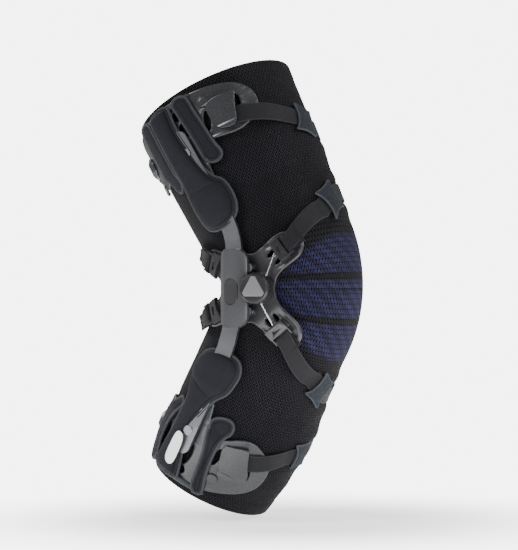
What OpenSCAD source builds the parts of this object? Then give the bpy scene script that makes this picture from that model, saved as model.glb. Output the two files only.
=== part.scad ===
// Knee brace: a knitted sleeve stiffened on its outer side by a geared two-pivot hinge, two shaped
// cuffs and a plate whose dial draws two knee straps towards the hinge.
// The frame is that of a leg bent to the rest angle: +X out through the hinge, +Y to the front, +Z up,
// with the origin in the leg at the height of the hinge's middle.

/* [Leg] */
// Bend of the knee at rest, in degrees
knee_bend = 57; // [50:1:60]
// Length of the straight thigh stretch of the sleeve
thigh_len = 151; // [125:1:180]
// Length of the straight calf stretch of the sleeve
calf_len = 160; // [132:1:190]
// Size of the leg's cross-sections, as a share of the medium size
leg_size = 1; // [0.97:0.01:1.03]
// Radius of the leg's middle line round the knee
knee_arc_r = 70; // [66:1:76]
// How far in front of the hinge the leg's middle line passes
knee_forward = 13.4; // [11:0.1:15]
// Wall of the knitted sleeve
knit_t = 3; // [2:0.1:4]

/* [Cuffs] */
// Wall of both cuffs
cuff_t = 2.7; // [2:0.1:3]
// Height of the cuffs' wide part along the leg
cuff_h = 45; // [38:1:50]
// Distance from a cuff's outer edge to the sleeve's hem
cuff_inset = 10; // [8:1:16]
// Width of the webbing straps on the cuffs
cuff_strap_w = 19; // [15:1:22]
// Wall of every strap
strap_t = 1.7; // [1:0.1:2]

/* [Hinge] */
// Distance between the two pivots, which sets the size of the gear teeth
pivot_gap = 22; // [20:1:26]
// Number of teeth that a full circle of either gear would have
gear_teeth = 16; // [14:2:20]
// Thickness of the side bars
bar_t = 3; // [2.4:0.1:3.4]
// Width of the side bars
bar_w = 16; // [13:1:18]
// Radius of the axle pins
axle_r = 3; // [2:0.1:3.5]
// Thickness of the hinge plates
hinge_plate_t = 1.8; // [1.2:0.1:2.2]
// Length of the hinge cover
cover_len = 68; // [60:1:76]
// Wall of the hinge cover
cover_wall = 2; // [1.5:0.1:2.6]

/* [Tensioner] */
// Thickness of the tension plate and its arms
arm_t = 2.4; // [2:0.1:2.6]
// Width of the arms
arm_w = 27; // [25:1:30]
// Travel of the two front sliders
slider_travel = 9; // [6:0.5:9]
// Width of the knee straps
knee_strap_w = 16; // [13:1:17]
// Outer radius of the dial's knob
knob_r = 13; // [12:0.5:14]
// Radius of the spool that the cables wind on
spool_r = 3; // [2.5:0.1:3.4]
// Diameter of the cables
cable_d = 1.1; // [0.8:0.1:1.4]

/* [Fits] */
// Gap between pieces that only lie against each other
lie_gap = 0.3; // [0.2:0.05:0.4]
// Radial gap of the axle pins and the dial's shaft
run_gap = 0.05; // [0.02:0.01:0.1]
// Side gap of sliders and plates that slide
slide_gap = 0.2; // [0.1:0.05:0.3]
// Room for the soft liner between a cuff and the knit
cuff_lift = 1; // [0.9:0.1:1.5]
// Gap between a strap and what it lies on
strap_lift = 0.8; // [0.7:0.1:1.2]

/* [Hidden] */
$fn = 48;

// ---- the leg's surface -------------------------------------------------------------------------
half_bend = knee_bend / 2;
arc_len = knee_arc_r * half_bend * PI / 180;
top_s = arc_len + thigh_len;
bottom_s = -arc_len - calf_len;

// Half sizes of the leg's sections: towards the front, the back and the side, at shares of each stretch
front_thigh = [[0, 65], [0.27, 67], [0.63, 70], [1, 72]];
back_thigh = [[0, 63], [0.27, 66], [0.63, 70], [1, 72]];
side_thigh = [[0, 60], [0.27, 64], [0.63, 69], [1, 71]];
front_calf = [[0, 62], [0.25, 61], [0.56, 66], [0.81, 63], [1, 55]];
back_calf = [[0, 61], [0.25, 60], [0.56, 60], [0.81, 58], [1, 54]];
side_calf = [[0, 58], [0.25, 59], [0.56, 60], [0.81, 57.5], [1, 54]];
knee_middle = [64, 62, 58];

// Half sizes [front, back, side] at place s along the leg's middle line, where 0 is the hinge
function half_sizes(s) = leg_size * (
    s > arc_len ? let(u = (s - arc_len) / thigh_len)
        [lookup(u, front_thigh), lookup(u, back_thigh), lookup(u, side_thigh)]
    : s < -arc_len ? let(u = (-s - arc_len) / calf_len)
        [lookup(u, front_calf), lookup(u, back_calf), lookup(u, side_calf)]
    : let(u = abs(s) / arc_len, end = s > 0 ? [65, 63, 60] : [62, 61, 58])
        knee_middle * (1 - u) + end * u);

function lean(s) = max(-half_bend, min(half_bend, s / knee_arc_r * 180 / PI));
function middle(s) = let(a = lean(s), past = max(abs(s) - arc_len, 0))
    [0, knee_forward - knee_arc_r * (1 - cos(a)) - past * sin(half_bend),
     knee_arc_r * sin(a) + sign(s) * past * cos(half_bend)];

// A point of the leg's surface at angle phi (0 at the hinge side, 90 at the front), raised by off
function on_leg(s, phi, off) = let(h = half_sizes(s), a = lean(s), n = (sin(phi) > 0 ? h[0] : h[1]) + off)
    middle(s) + [(h[2] + off) * cos(phi), n * sin(phi) * cos(a), n * sin(phi) * sin(a)];

// The angle that lies q millimetres round the leg from the hinge side
function round_leg(s, q) = let(h = half_sizes(s)) q / (h[0] + h[1] + 2 * h[2]) * 4 * 180 / PI;

// ---- shells between two grids of points ----------------------------------------------------------
// Rows and columns may run either way. A wrapped shell's columns close on themselves.
function flipped(list) = [for (k = [len(list) - 1 : -1 : 0]) list[k]];
module shell(in, out, wrap = false) {
    faces_out = cross(in[0][1] - in[0][0], in[1][0] - in[0][0]) * (out[0][0] - in[0][0]) > 0;
    inner = faces_out ? in : flipped(in);
    outer = faces_out ? out : flipped(out);
    rows = len(inner);
    cols = len(inner[0]);
    last = wrap ? cols - 1 : cols - 2;
    function id(k, i, j) = k * rows * cols + i * cols + j % cols;
    skins = [for (i = [0 : rows - 2], j = [0 : last]) each [
        [id(1, i, j), id(1, i + 1, j), id(1, i + 1, j + 1)],
        [id(1, i, j), id(1, i + 1, j + 1), id(1, i, j + 1)],
        [id(0, i, j), id(0, i, j + 1), id(0, i + 1, j + 1)],
        [id(0, i, j), id(0, i + 1, j + 1), id(0, i + 1, j)]]];
    ends = [for (j = [0 : last]) each [
        [id(0, 0, j), id(1, 0, j), id(1, 0, j + 1)],
        [id(0, 0, j), id(1, 0, j + 1), id(0, 0, j + 1)],
        [id(0, rows - 1, j), id(1, rows - 1, j + 1), id(1, rows - 1, j)],
        [id(0, rows - 1, j), id(0, rows - 1, j + 1), id(1, rows - 1, j + 1)]]];
    sides = wrap ? [] : [for (i = [0 : rows - 2]) each [
        [id(0, i, 0), id(0, i + 1, 0), id(1, i + 1, 0)],
        [id(0, i, 0), id(1, i + 1, 0), id(1, i, 0)],
        [id(0, i, cols - 1), id(1, i + 1, cols - 1), id(0, i + 1, cols - 1)],
        [id(0, i, cols - 1), id(1, i, cols - 1), id(1, i + 1, cols - 1)]]];
    polyhedron(points = [for (grid = [inner, outer], row = grid, p = row) p],
        faces = concat(skins, ends, sides));
}

// A tube round the leg from place s0 to s1
module leg_tube(s0, s1, off_in, off_out, rings, facets = 40) {
    function grid(off) = [for (i = [0 : rings]) [for (j = [0 : facets - 1])
        on_leg(s0 + (s1 - s0) * i / rings, j * 360 / facets, off)]];
    shell(grid(off_in), grid(off_out), true);
}

// A piece cut to a pattern and laid on the leg. Each row is [s, q from, q to, off inside]
module leg_patch(rows, t, cols) {
    function grid(lift) = [for (r = rows) [for (j = [0 : cols])
        on_leg(r[0], round_leg(r[0], r[1] + (r[2] - r[1]) * j / cols), r[3] + lift)]];
    shell(grid(0), grid(t));
}

// A strap round the leg. The route is a list of [phi, s], and lifts is a list of [phi, off inside]
module leg_strap(route, lifts, width, t, step = 7.5) {
    first = route[0][0];
    last = route[len(route) - 1][0];
    count = ceil((last - first) / step);
    function grid(lift) = [for (i = [-1 : 1]) [for (j = [0 : count])
        let(phi = first + (last - first) * j / count,
            slope = atan2(lookup(phi + 2, route) - lookup(phi - 2, route), 4 * 1.1))
        on_leg(lookup(phi, route) + i * width / 2 * cos(slope),
            phi - i * width / 2 * sin(slope) / 1.1, lookup(phi, lifts) + lift)]];
    shell(grid(0), grid(t));
}

// ---- hinge stack, from the leg outwards ----------------------------------------------------------
plate_x = leg_size * 58 + 2.2;
plate_top_x = plate_x + arm_t;
inner_plate_x = plate_top_x + 0.02;
bar_x = inner_plate_x + hinge_plate_t + slide_gap;
outer_plate_x = bar_x + bar_t + slide_gap;
outer_top_x = outer_plate_x + hinge_plate_t;
axle_head_t = 1.2;
axle_head_r = axle_r + 2;
pitch_r = pivot_gap / 2;
tooth_module = pivot_gap / gear_teeth;
tip_r = pitch_r + 0.85 * tooth_module;
root_r = pitch_r - 1.15 * tooth_module;
backlash = 0.12;

// Puts a shape drawn in the plane of the side bars (its x to the front, its y up) at x
module at_side(x) { translate([x, 0, 0]) rotate([90, 0, 90]) children(); }

// Half of the angle that a tooth fills at radius r, for teeth with 20-degree involute flanks
base_r = pitch_r * cos(20);
function involute(r) = let(a = acos(base_r / r)) tan(a) * 180 / PI - a;
function half_tooth(r) = 90 / gear_teeth - backlash / pitch_r * 180 / PI / 2
    + involute(pitch_r) - involute(max(r, base_r + 0.001));
flank_rs = [root_r, base_r + 0.001, (base_r + pitch_r) / 2, pitch_r, (pitch_r + tip_r) / 2, tip_r];

module gear_outline(phase) {
    pitch = 360 / gear_teeth;
    polygon([for (i = [0 : gear_teeth - 1]) each concat(
        [for (r = flank_rs) let(a = phase + i * pitch - half_tooth(r)) r * [cos(a), sin(a)]],
        [for (k = [len(flank_rs) - 1 : -1 : 0]) let(r = flank_rs[k], a = phase + i * pitch + half_tooth(r))
            r * [cos(a), sin(a)]])]);
}

// ---- side bars: each leaves its pivot steeply, bends back and then runs along the leg -------------
bar_straight = 30;
bar_bend_len = 24;
bar_steps = 8;
// Lean of a bar at its pivot and past its bend: the thigh's, then the calf's
thigh_leans = [8, half_bend + 4];
calf_leans = [16, half_bend];
function bar_angle(l, leans) = leans[0] + (leans[1] - leans[0]) * max(0, min(1, (l - bar_straight) / bar_bend_len));
function bar_run(l, leans, n = 40) = l <= 0 ? [0, 0]
    : [for (k = [0 : n - 1]) 1] * [for (k = [0 : n - 1])
        let(a = bar_angle((k + 0.5) * l / n, leans)) [-sin(a), cos(a)] * l / n];
function bar_side(l, w, leans) = bar_run(l, leans) + w * [cos(bar_angle(l, leans)), sin(bar_angle(l, leans))];
function bar_marks(len) = concat([0, bar_straight],
    [for (k = [1 : bar_steps]) bar_straight + bar_bend_len * k / bar_steps], [len]);

module bar_outline(len, leans) {
    marks = bar_marks(len - bar_w / 2);
    polygon(concat([for (l = marks) bar_side(l, bar_w / 2, leans)],
        [for (k = [len(marks) - 1 : -1 : 0]) bar_side(marks[k], -bar_w / 2, leans)]));
    translate(bar_run(len - bar_w / 2, leans)) circle(bar_w / 2);
}

thigh_bar_len = thigh_len - 12;
calf_bar_len = calf_len - 14;
rivet_r = 2.4;
rivet_places = [22, 46];
// Inner face of a bar, as [height above the pivot, x]: flat in the hinge, then following the cuff
thigh_bar_xs = [[-20, bar_x], [30, bar_x],
    [64, leg_size * 64.8 + cuff_t + cuff_lift + 0.5],
    [99, leg_size * 68.8 + cuff_t + cuff_lift + 0.5],
    [thigh_len, leg_size * 70.6 + cuff_t + cuff_lift + 0.5]];
calf_bar_xs = [[-20, bar_x], [34, bar_x],
    [69, leg_size * 59.8 + cuff_t + cuff_lift + 0.5],
    [110, leg_size * 60 + cuff_t + cuff_lift + 0.5],
    [calf_len, leg_size * 58.6 + cuff_t + cuff_lift + 0.5]];

// The bar above its pivot, drawn with the pivot at the origin
module bar_blank(len, leans, xs, phase) {
    intersection() {
        rotate([90, 0, 90]) linear_extrude(bar_x + 40) difference() {
            union() {
                gear_outline(phase);
                bar_outline(len, leans);
            }
            circle(axle_r + run_gap);
            for (m = rivet_places) translate(bar_run(len - m, leans)) circle(rivet_r + run_gap);
        }
        translate([0, 60, 0]) rotate([90, 0, 0]) linear_extrude(len + 60) polygon(concat(
            [for (p = xs) [p[1], p[0]]], [for (k = [len(xs) - 1 : -1 : 0]) [xs[k][1] + bar_t, xs[k][0]]]));
    }
}

module thigh_bar() {
    color([0.62, 0.63, 0.65]) translate([0, 0, pitch_r]) bar_blank(thigh_bar_len, thigh_leans, thigh_bar_xs, -90);
}
module calf_bar() {
    color([0.62, 0.63, 0.65]) mirror([0, 0, 1]) translate([0, 0, pitch_r])
        bar_blank(calf_bar_len, calf_leans, calf_bar_xs, -90 + 180 / gear_teeth);
}

// ---- cuffs ---------------------------------------------------------------------------------------
cuff_q = -8;
cuff_reach = 84;
neck_len = 34;
thigh_cuff_edge = top_s - cuff_inset;
calf_cuff_edge = bottom_s + cuff_inset;

// Rows of a cuff from its outer edge at s, going by dir towards the knee
function cuff_rows(s, dir, reach) = [for (r = [[0, 0.7], [0.08, 0.86], [0.24, 0.97], [0.5, 1], [0.76, 0.96],
        [0.92, 0.84], [1, 0.66]]) [s + dir * cuff_h * r[0], cuff_q - reach * r[1], cuff_q + reach * r[1], cuff_lift]];
function neck_rows(s, dir) = [for (r = [[0.1, 34, 0], [0.35, 20, 2], [0.7, 13, 4], [0.92, 11, 5], [1, 7, 5]])
    [s + dir * (cuff_h + neck_len * r[0]), cuff_q + r[2] - r[1], cuff_q + r[2] + r[1], cuff_lift]];

module cuff(s, dir, reach, len, leans, side) {
    rows = concat(cuff_rows(s, dir, reach), neck_rows(s, dir));
    difference() {
        leg_patch(rows, cuff_t, 24);
        for (m = rivet_places) rivet_line(bar_run(len - m, leans), side)
            cylinder(h = 60, r = rivet_r + run_gap, center = true);
    }
}

// Puts a shape drawn along +Z on the axis of a rivet
module rivet_line(run, side) {
    translate([leg_size * 66, run[0], side * (pitch_r + run[1])]) rotate([0, 90, 0]) children();
}

module thigh_cuff() {
    color([0.27, 0.27, 0.29]) cuff(thigh_cuff_edge, -1, cuff_reach, thigh_bar_len, thigh_leans, 1);
}
module calf_cuff() {
    color([0.27, 0.27, 0.29]) cuff(calf_cuff_edge, 1, cuff_reach * 0.84, calf_bar_len, calf_leans, -1);
}

// Rivets: a flat head on the bar and a shank through the bar into the cuff
rivet_head_t = 1;
module rivets(len, leans, xs, side) {
    for (m = rivet_places) {
        run = bar_run(len - m, leans);
        slope = (lookup(run[1] + 1, xs) - lookup(run[1] - 1, xs)) / 2;
        x = lookup(run[1], xs) + bar_t;
        translate([x + bar_w / 2 * 0.5 * abs(slope) + 0.05, run[0], side * (pitch_r + run[1])]) rotate([0, 90, 0]) {
            cylinder(h = rivet_head_t, r = rivet_r + 1.8);
            translate([0, 0, -bar_t - cuff_t * 0.75]) cylinder(h = bar_t + cuff_t * 0.75, r = rivet_r);
        }
    }
}
module thigh_rivets() { color("silver") rivets(thigh_bar_len, thigh_leans, thigh_bar_xs, 1); }
module calf_rivets() { color("silver") rivets(calf_bar_len, calf_leans, calf_bar_xs, -1); }

// ---- knitted sleeve and what lies inside it --------------------------------------------------------
knee_zone = arc_len + 52;
module thigh_sleeve() { color([0.07, 0.07, 0.08]) leg_tube(knee_zone, top_s, -knit_t, 0, 8); }
module calf_sleeve() { color([0.07, 0.07, 0.08]) leg_tube(bottom_s, -knee_zone, -knit_t, 0, 9); }
module knee_sleeve() {
    color([0.13, 0.12, 0.3]) leg_tube(-knee_zone + lie_gap, knee_zone - lie_gap, -knit_t, 0, 12);
}

// Viscoelastic ring round the kneecap, on the sleeve's inner face
pad_t = 4;
module patella_pad() {
    ring = 30;
    function grid(off) = [for (i = [0 : ring - 1]) let(a = i * 360 / ring)
        [for (r = [0, 0.5, 1]) on_leg((14 + 7 * r) * cos(a) - 3, 90 + (26 + 12 * r) * sin(a), off)]];
    color([0.25, 0.3, 0.45]) ring_shell(grid(-knit_t - 1 - pad_t), grid(-knit_t - 1));
}

// A shell whose rows close on themselves, such as a ring laid on the leg
module ring_shell(inner, outer) {
    rows = len(inner);
    cols = len(inner[0]);
    function id(k, i, j) = k * rows * cols + (i % rows) * cols + j;
    skins = [for (i = [0 : rows - 1], j = [0 : cols - 2]) each [
        [id(1, i, j), id(1, i + 1, j + 1), id(1, i + 1, j)],
        [id(1, i, j), id(1, i, j + 1), id(1, i + 1, j + 1)],
        [id(0, i, j), id(0, i + 1, j + 1), id(0, i, j + 1)],
        [id(0, i, j), id(0, i + 1, j), id(0, i + 1, j + 1)]]];
    sides = [for (i = [0 : rows - 1]) each [
        [id(0, i, 0), id(1, i + 1, 0), id(0, i + 1, 0)],
        [id(0, i, 0), id(1, i, 0), id(1, i + 1, 0)],
        [id(0, i, cols - 1), id(0, i + 1, cols - 1), id(1, i + 1, cols - 1)],
        [id(0, i, cols - 1), id(1, i + 1, cols - 1), id(1, i, cols - 1)]]];
    polyhedron(points = [for (grid = [inner, outer], row = grid, p = row) p], faces = concat(skins, sides));
}

// Silicone bands that keep the hems from slipping
grip_h = 12;
grip_t = 1;
module hem_grips_thigh() {
    color([0.2, 0.2, 0.22])
        leg_tube(top_s - 4 - grip_h, top_s - 4, -knit_t - lie_gap - grip_t, -knit_t - lie_gap, 1);
}
module hem_grips_calf() {
    color([0.2, 0.2, 0.22])
        leg_tube(bottom_s + 4, bottom_s + 4 + grip_h, -knit_t - lie_gap - grip_t, -knit_t - lie_gap, 1);
}

// ---- textile pockets over the bars and cuffs -------------------------------------------------------
pocket_t = 2;
over_bar = cuff_lift + cuff_t + bar_t + rivet_head_t + 2;
pad_w = 38;
band_w = 25;
finger_w = 15;
pad_len = 44;

// Rows of the middle band and its pad, from the cuff's outer edge towards the knee
function pocket_rows(edge, dir, far, drop, slant) = [for (r = [
        [0, band_w, -0.4], [0.4, band_w, 0], [0.62, band_w * 0.85, 0.6], [0.7, band_w * 0.9, 0.8],
        [0.76, pad_w, 1], [0.95, pad_w, 1], [0.985, pad_w * 0.85, 1], [1, pad_w * 0.5, 1]])
    [edge + dir * far * r[0], cuff_q + slant * r[2] - r[1] / 2, cuff_q + slant * r[2] + r[1] / 2, over_bar + drop]];
// Rows of a finger that ends in a round tab on the knit
function finger_rows(edge, dir, far, q, slant) = [for (r = [
        [0, 1, 1.4], [0.6, 1, 1.4], [0.82, 1, 1.2], [0.96, 1, 0.8], [1, 0.6, 0.8]])
    [edge + dir * far * r[0], q + slant * r[0] - finger_w / 2 * r[1], q + slant * r[0] + finger_w / 2 * r[1],
     cuff_lift + cuff_t + r[2]]];

thigh_pocket_len = thigh_cuff_edge - arc_len - 26;
calf_pocket_len = -calf_cuff_edge - arc_len - 26;
front_finger_q = 15;
rear_finger_q = -38;
finger_len = 60;
module thigh_bar_pocket() {
    color([0.11, 0.12, 0.15]) leg_patch(pocket_rows(thigh_cuff_edge, -1, thigh_pocket_len, 0, 7), pocket_t, 6);
}
module calf_bar_pocket() {
    color([0.11, 0.12, 0.15]) leg_patch(pocket_rows(calf_cuff_edge, 1, calf_pocket_len, 1.5, 3), pocket_t, 6);
}
module thigh_front_finger() {
    color([0.11, 0.12, 0.15]) leg_patch(finger_rows(thigh_cuff_edge, -1, finger_len, front_finger_q, 4), pocket_t, 4);
}
module thigh_rear_finger() {
    color([0.11, 0.12, 0.15]) leg_patch(finger_rows(thigh_cuff_edge, -1, finger_len + 6, rear_finger_q, -3), pocket_t, 4);
}
module calf_front_finger() {
    color([0.11, 0.12, 0.15]) leg_patch(finger_rows(calf_cuff_edge, 1, finger_len, front_finger_q + 2, 6), pocket_t, 4);
}
module calf_rear_finger() {
    color([0.11, 0.12, 0.15]) leg_patch(finger_rows(calf_cuff_edge, 1, finger_len + 6, rear_finger_q, -3), pocket_t, 4);
}
// The hem that the three fingers are sewn to, just past the cuff's outer edge
hem_h = 4;
module finger_hem(edge, dir) {
    s0 = edge + dir * lie_gap;
    rows = [for (k = [0, 1]) [s0 + dir * hem_h * k, rear_finger_q - finger_w / 2, front_finger_q + finger_w / 2, lie_gap]];
    leg_patch(rows, cuff_t + 3.7, 10);
}
module thigh_finger_hem() { color([0.2, 0.2, 0.23]) finger_hem(thigh_cuff_edge, 1); }
module calf_finger_hem() { color([0.2, 0.2, 0.23]) finger_hem(calf_cuff_edge, -1); }

// Blank size label on the calf's pocket
module size_label() {
    s0 = calf_cuff_edge + 12;
    rows = [for (r = [[0, 5], [2.5, 9.5], [25.5, 9.5], [28, 5]])
        [s0 + r[0], cuff_q - 4 - r[1] / 2, cuff_q - 4 + r[1] / 2, over_bar + 1.5 + pocket_t + 0.15]];
    color("white") leg_patch(rows, 0.6, 3);
}

// ---- straps on the cuffs ---------------------------------------------------------------------------
on_cuff = cuff_lift + cuff_t + 1;
guide_wall = 2;
guide_len = 22;
thigh_strap_route = [[26, thigh_cuff_edge - 27], [40, thigh_cuff_edge - 27], [62, thigh_cuff_edge - 36],
    [105, thigh_cuff_edge - 60], [180, thigh_cuff_edge - 52], [240, thigh_cuff_edge - 36],
    [290, thigh_cuff_edge - 24], [302, thigh_cuff_edge - 24]];
calf_strap_route = [[34, calf_cuff_edge + 24], [48, calf_cuff_edge + 24], [68, calf_cuff_edge + 30],
    [105, calf_cuff_edge + 50], [180, calf_cuff_edge + 46], [240, calf_cuff_edge + 34],
    [290, calf_cuff_edge + 24], [302, calf_cuff_edge + 24]];
cuff_strap_lifts = [[70, on_cuff], [82, strap_lift], [262, strap_lift], [276, on_cuff]];
module cuff_strap(route) { color([0.08, 0.08, 0.1]) leg_strap(route, cuff_strap_lifts, cuff_strap_w, strap_t); }
module thigh_strap() { cuff_strap(thigh_strap_route); }
module calf_strap() { cuff_strap(calf_strap_route); }

// A guide: a bridge on the cuff that a strap passes under, open at both ends
module guide(s, phi_mid) {
    span = cuff_strap_w + 4;
    off = [cuff_lift + cuff_t + 0.5, on_cuff + strap_t + 0.8];
    h = half_sizes(s);
    half_phi = guide_len / 2 / (h[0] + off[0]) * 180 / PI;
    phis = [for (k = [-2 : 2]) phi_mid + half_phi * k / 2];
    module block(s0, s1, o0, o1) {
        shell([for (s = [s0, s1]) [for (p = phis) on_leg(s, p, o0)]],
              [for (s = [s0, s1]) [for (p = phis) on_leg(s, p, o1)]]);
    }
    block(s - span / 2 - guide_wall, s - span / 2, off[0], off[1] + guide_wall);
    block(s + span / 2, s + span / 2 + guide_wall, off[0], off[1] + guide_wall);
    block(s - span / 2 - 0.01, s + span / 2 + 0.01, off[1], off[1] + guide_wall);
}
thigh_guide_phi = 33;
calf_guide_phi = 42;
guide_rear_phi = 297;
module thigh_strap_guides() {
    color([0.33, 0.33, 0.35]) {
        guide(thigh_cuff_edge - 27, thigh_guide_phi);
        guide(thigh_cuff_edge - 24, guide_rear_phi);
    }
}
module calf_strap_guides() {
    color([0.33, 0.33, 0.35]) {
        guide(calf_cuff_edge + 24, calf_guide_phi);
        guide(calf_cuff_edge + 24, guide_rear_phi);
    }
}

// Felt tabs that hold a strap's free end on the strap
tab_t = 2;
tab_w = 28;
module tab(phi0, phi1, route) {
    leg_strap([[phi0, lookup(phi0, route)], [phi1, lookup(phi1, route)]],
        [[0, 2 * strap_lift + strap_t]], tab_w, tab_t);
}
module thigh_strap_tab() { color([0.16, 0.18, 0.22]) tab(84, 104, thigh_strap_route); }
module calf_strap_tab() { color([0.16, 0.18, 0.22]) tab(84, 104, calf_strap_route); }

// ---- hinge -----------------------------------------------------------------------------------------
hinge_plate_w = 25;
hinge_plate_len = 58;
module stadium(len, w) {
    square([w, len - w], center = true);
    for (k = [-1, 1]) translate([0, k * (len - w) / 2]) circle(w / 2);
}
stop_r = 2;
stop_out = 6;
stop_along = 11;
// Place of the pin that the front edge of a bar meets once the leg is straight
function stop_place(leans) = let(a = half_bend - leans[0])
    pitch_r * [0, 1] + stop_along * [sin(a), cos(a)] + (bar_w / 2 + stop_r + 0.2) * [cos(a), -sin(a)];
stop_places = [stop_place(thigh_leans), [stop_place(calf_leans)[0], -stop_place(calf_leans)[1]]];

module hinge_plate_outline() {
    difference() {
        union() {
            stadium(hinge_plate_len, hinge_plate_w);
            for (p = stop_places) translate(p) circle(stop_r + 1.8);
        }
        for (k = [-1, 1]) translate([0, k * pitch_r]) circle(axle_r + run_gap);
        for (p = stop_places) translate(p) circle(stop_r + run_gap);
    }
}
module hinge_plate(x) {
    color([0.45, 0.46, 0.48]) at_side(x) linear_extrude(hinge_plate_t) hinge_plate_outline();
}
module hinge_inner_plate() { hinge_plate(inner_plate_x); }
module hinge_outer_plate() { hinge_plate(outer_plate_x); }
module hinge_axles() {
    color("silver") for (k = [-1, 1]) translate([0, 0, k * pitch_r]) rotate([0, 90, 0]) {
        translate([0, 0, plate_x - axle_head_t - 0.02]) cylinder(h = axle_head_t, r = axle_head_r - 0.5);
        translate([0, 0, plate_x - 0.1]) cylinder(h = outer_top_x - plate_x + 0.2, r = axle_r);
        translate([0, 0, outer_top_x + 0.02]) cylinder(h = axle_head_t, r = axle_head_r);
    }
}
// Stop pins that the bars meet when the leg is straight
module extension_stops() {
    color("silver") for (p = stop_places) translate([inner_plate_x + 0.2, p[0], p[1]])
        rotate([0, 90, 0]) cylinder(h = outer_top_x - inner_plate_x - 0.4, r = stop_r);
}

cover_w = 27;
cover_h = 8.2;
cover_corner = 10;
crown_r = 19;
cover_x = outer_top_x + 0.1;
badge_w = 14;
badge_len = 23;
badge_t = 0.9;
badge_z = -3;
module cover_outline(in) {
    for (k = [-1, 1], m = [-1, 1]) translate([k * (cover_w / 2 - cover_corner), m * (cover_len / 2 - cover_corner)])
        circle(cover_corner - in);
    square([cover_w - 2 * in, cover_len - 2 * cover_corner], center = true);
    square([cover_w - 2 * cover_corner, cover_len - 2 * in], center = true);
}
// The cover's outline with a crowned top that is h high
module cover_body(in, h) {
    intersection() {
        at_side(cover_x) linear_extrude(h + 1) cover_outline(in);
        translate([cover_x + h - crown_r, 0, 0]) cylinder(h = 200, r = crown_r, center = true, $fn = 96);
    }
}
module badge_bar(w, len, x) { translate([0, 0, badge_z]) at_side(x) linear_extrude(20) stadium(len, w); }
module hinge_cover() {
    color([0.5, 0.51, 0.53]) difference() {
        cover_body(0, cover_h);
        translate([-0.5, 0, 0]) cover_body(cover_wall, cover_h - cover_wall + 0.5);
        badge_bar(badge_w, badge_len, cover_x + cover_h - badge_t - 0.9);
    }
}
// Blank plate set in the cover
module cover_badge() {
    color([0.4, 0.41, 0.43]) translate([0, 0, badge_z]) at_side(cover_x + cover_h - badge_t - 0.85)
        linear_extrude(badge_t) stadium(badge_len - 2 * slide_gap, badge_w - 2 * slide_gap);
}
module hinge_washers() {
    color("white") for (k = [-1, 1]) translate([bar_x + bar_t + 0.02, 0, k * pitch_r]) rotate([0, 90, 0])
        difference() {
            cylinder(h = slide_gap - 0.04, r = axle_head_r);
            translate([0, 0, -1]) cylinder(h = 3, r = axle_r + run_gap);
        }
}

// ---- tension plate, sliders and buckles --------------------------------------------------------------
dial_tilt = 13;
dial_y = 21.5;
arm_len = 32;
front_arm_root = [27, 24];
rear_arm_root = [-14, 13];
upper_arm_plan = 50;
lower_arm_plan = 38;
rear_arm_plan = 60;
front_arm_dip = 21;
rear_arm_dip = 16;
front_arm_roll = 7;
rear_arm_roll = 18;
neck_back = [33, 12];

function arm_plan(front, up) = front < 0 ? rear_arm_plan : up > 0 ? upper_arm_plan : lower_arm_plan;

// Local frame of an arm: x out of its face, y across it and z along it, from its root on the plate.
// front is 1 for a front arm and -1 for a rear arm, and up is 1 or -1.
module arm_frame(front, up) {
    root = front > 0 ? front_arm_root : rear_arm_root;
    plan = arm_plan(front, up);
    dip = front > 0 ? front_arm_dip : rear_arm_dip;
    roll = front > 0 ? front_arm_roll : rear_arm_roll;
    mirror([0, 0, up < 0 ? 1 : 0]) translate([plate_top_x, root[0], root[1]])
        rotate([-front * plan, 0, 0]) rotate([0, -dip, 0]) rotate([0, 0, front * roll]) children();
}
rail_w = 2.2;
rail_h = 3.2;
lip_w = 1.6;
lip_t = 1;
slider_len = 9;
track_from = 1;
track_len = slider_travel + slider_len;
slider_at = track_from + track_len - slider_len;

// A front arm's rails cover its slider's travel; a rear arm's only hold its buckle
module arm(front) {
    from = front > 0 ? track_from : slider_at - 3;
    difference() {
        union() {
            translate([-arm_t, -arm_w / 2, -8]) cube([arm_t, arm_w, arm_len - arm_w / 2 + 8]);
            translate([-arm_t, 0, arm_len - arm_w / 2]) rotate([0, 90, 0]) cylinder(h = arm_t, r = arm_w / 2);
            for (k = [-1, 1]) translate([0, k * (arm_w - rail_w) / 2, 0]) {
                translate([-1, -rail_w / 2, from]) cube([rail_h + 1, rail_w, track_from + track_len - from]);
                translate([rail_h - 0.02, k > 0 ? -rail_w / 2 - lip_w : -rail_w / 2, from])
                    cube([lip_t, rail_w + lip_w, track_from + track_len - from]);
            }
        }
        // a lengthwise opening under the slider
        translate([-arm_t - 1, 0, 8]) rotate([0, 90, 0]) linear_extrude(arm_t + 2) rotate(90) stadium(12, 6);
    }
}

// Neck of the flat plate that runs out to the root of a front arm
module neck(root, plan, back, w) {
    translate(root) rotate(-plan) translate([-w / 2, -back]) square([w, back + 2]);
}

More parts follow.
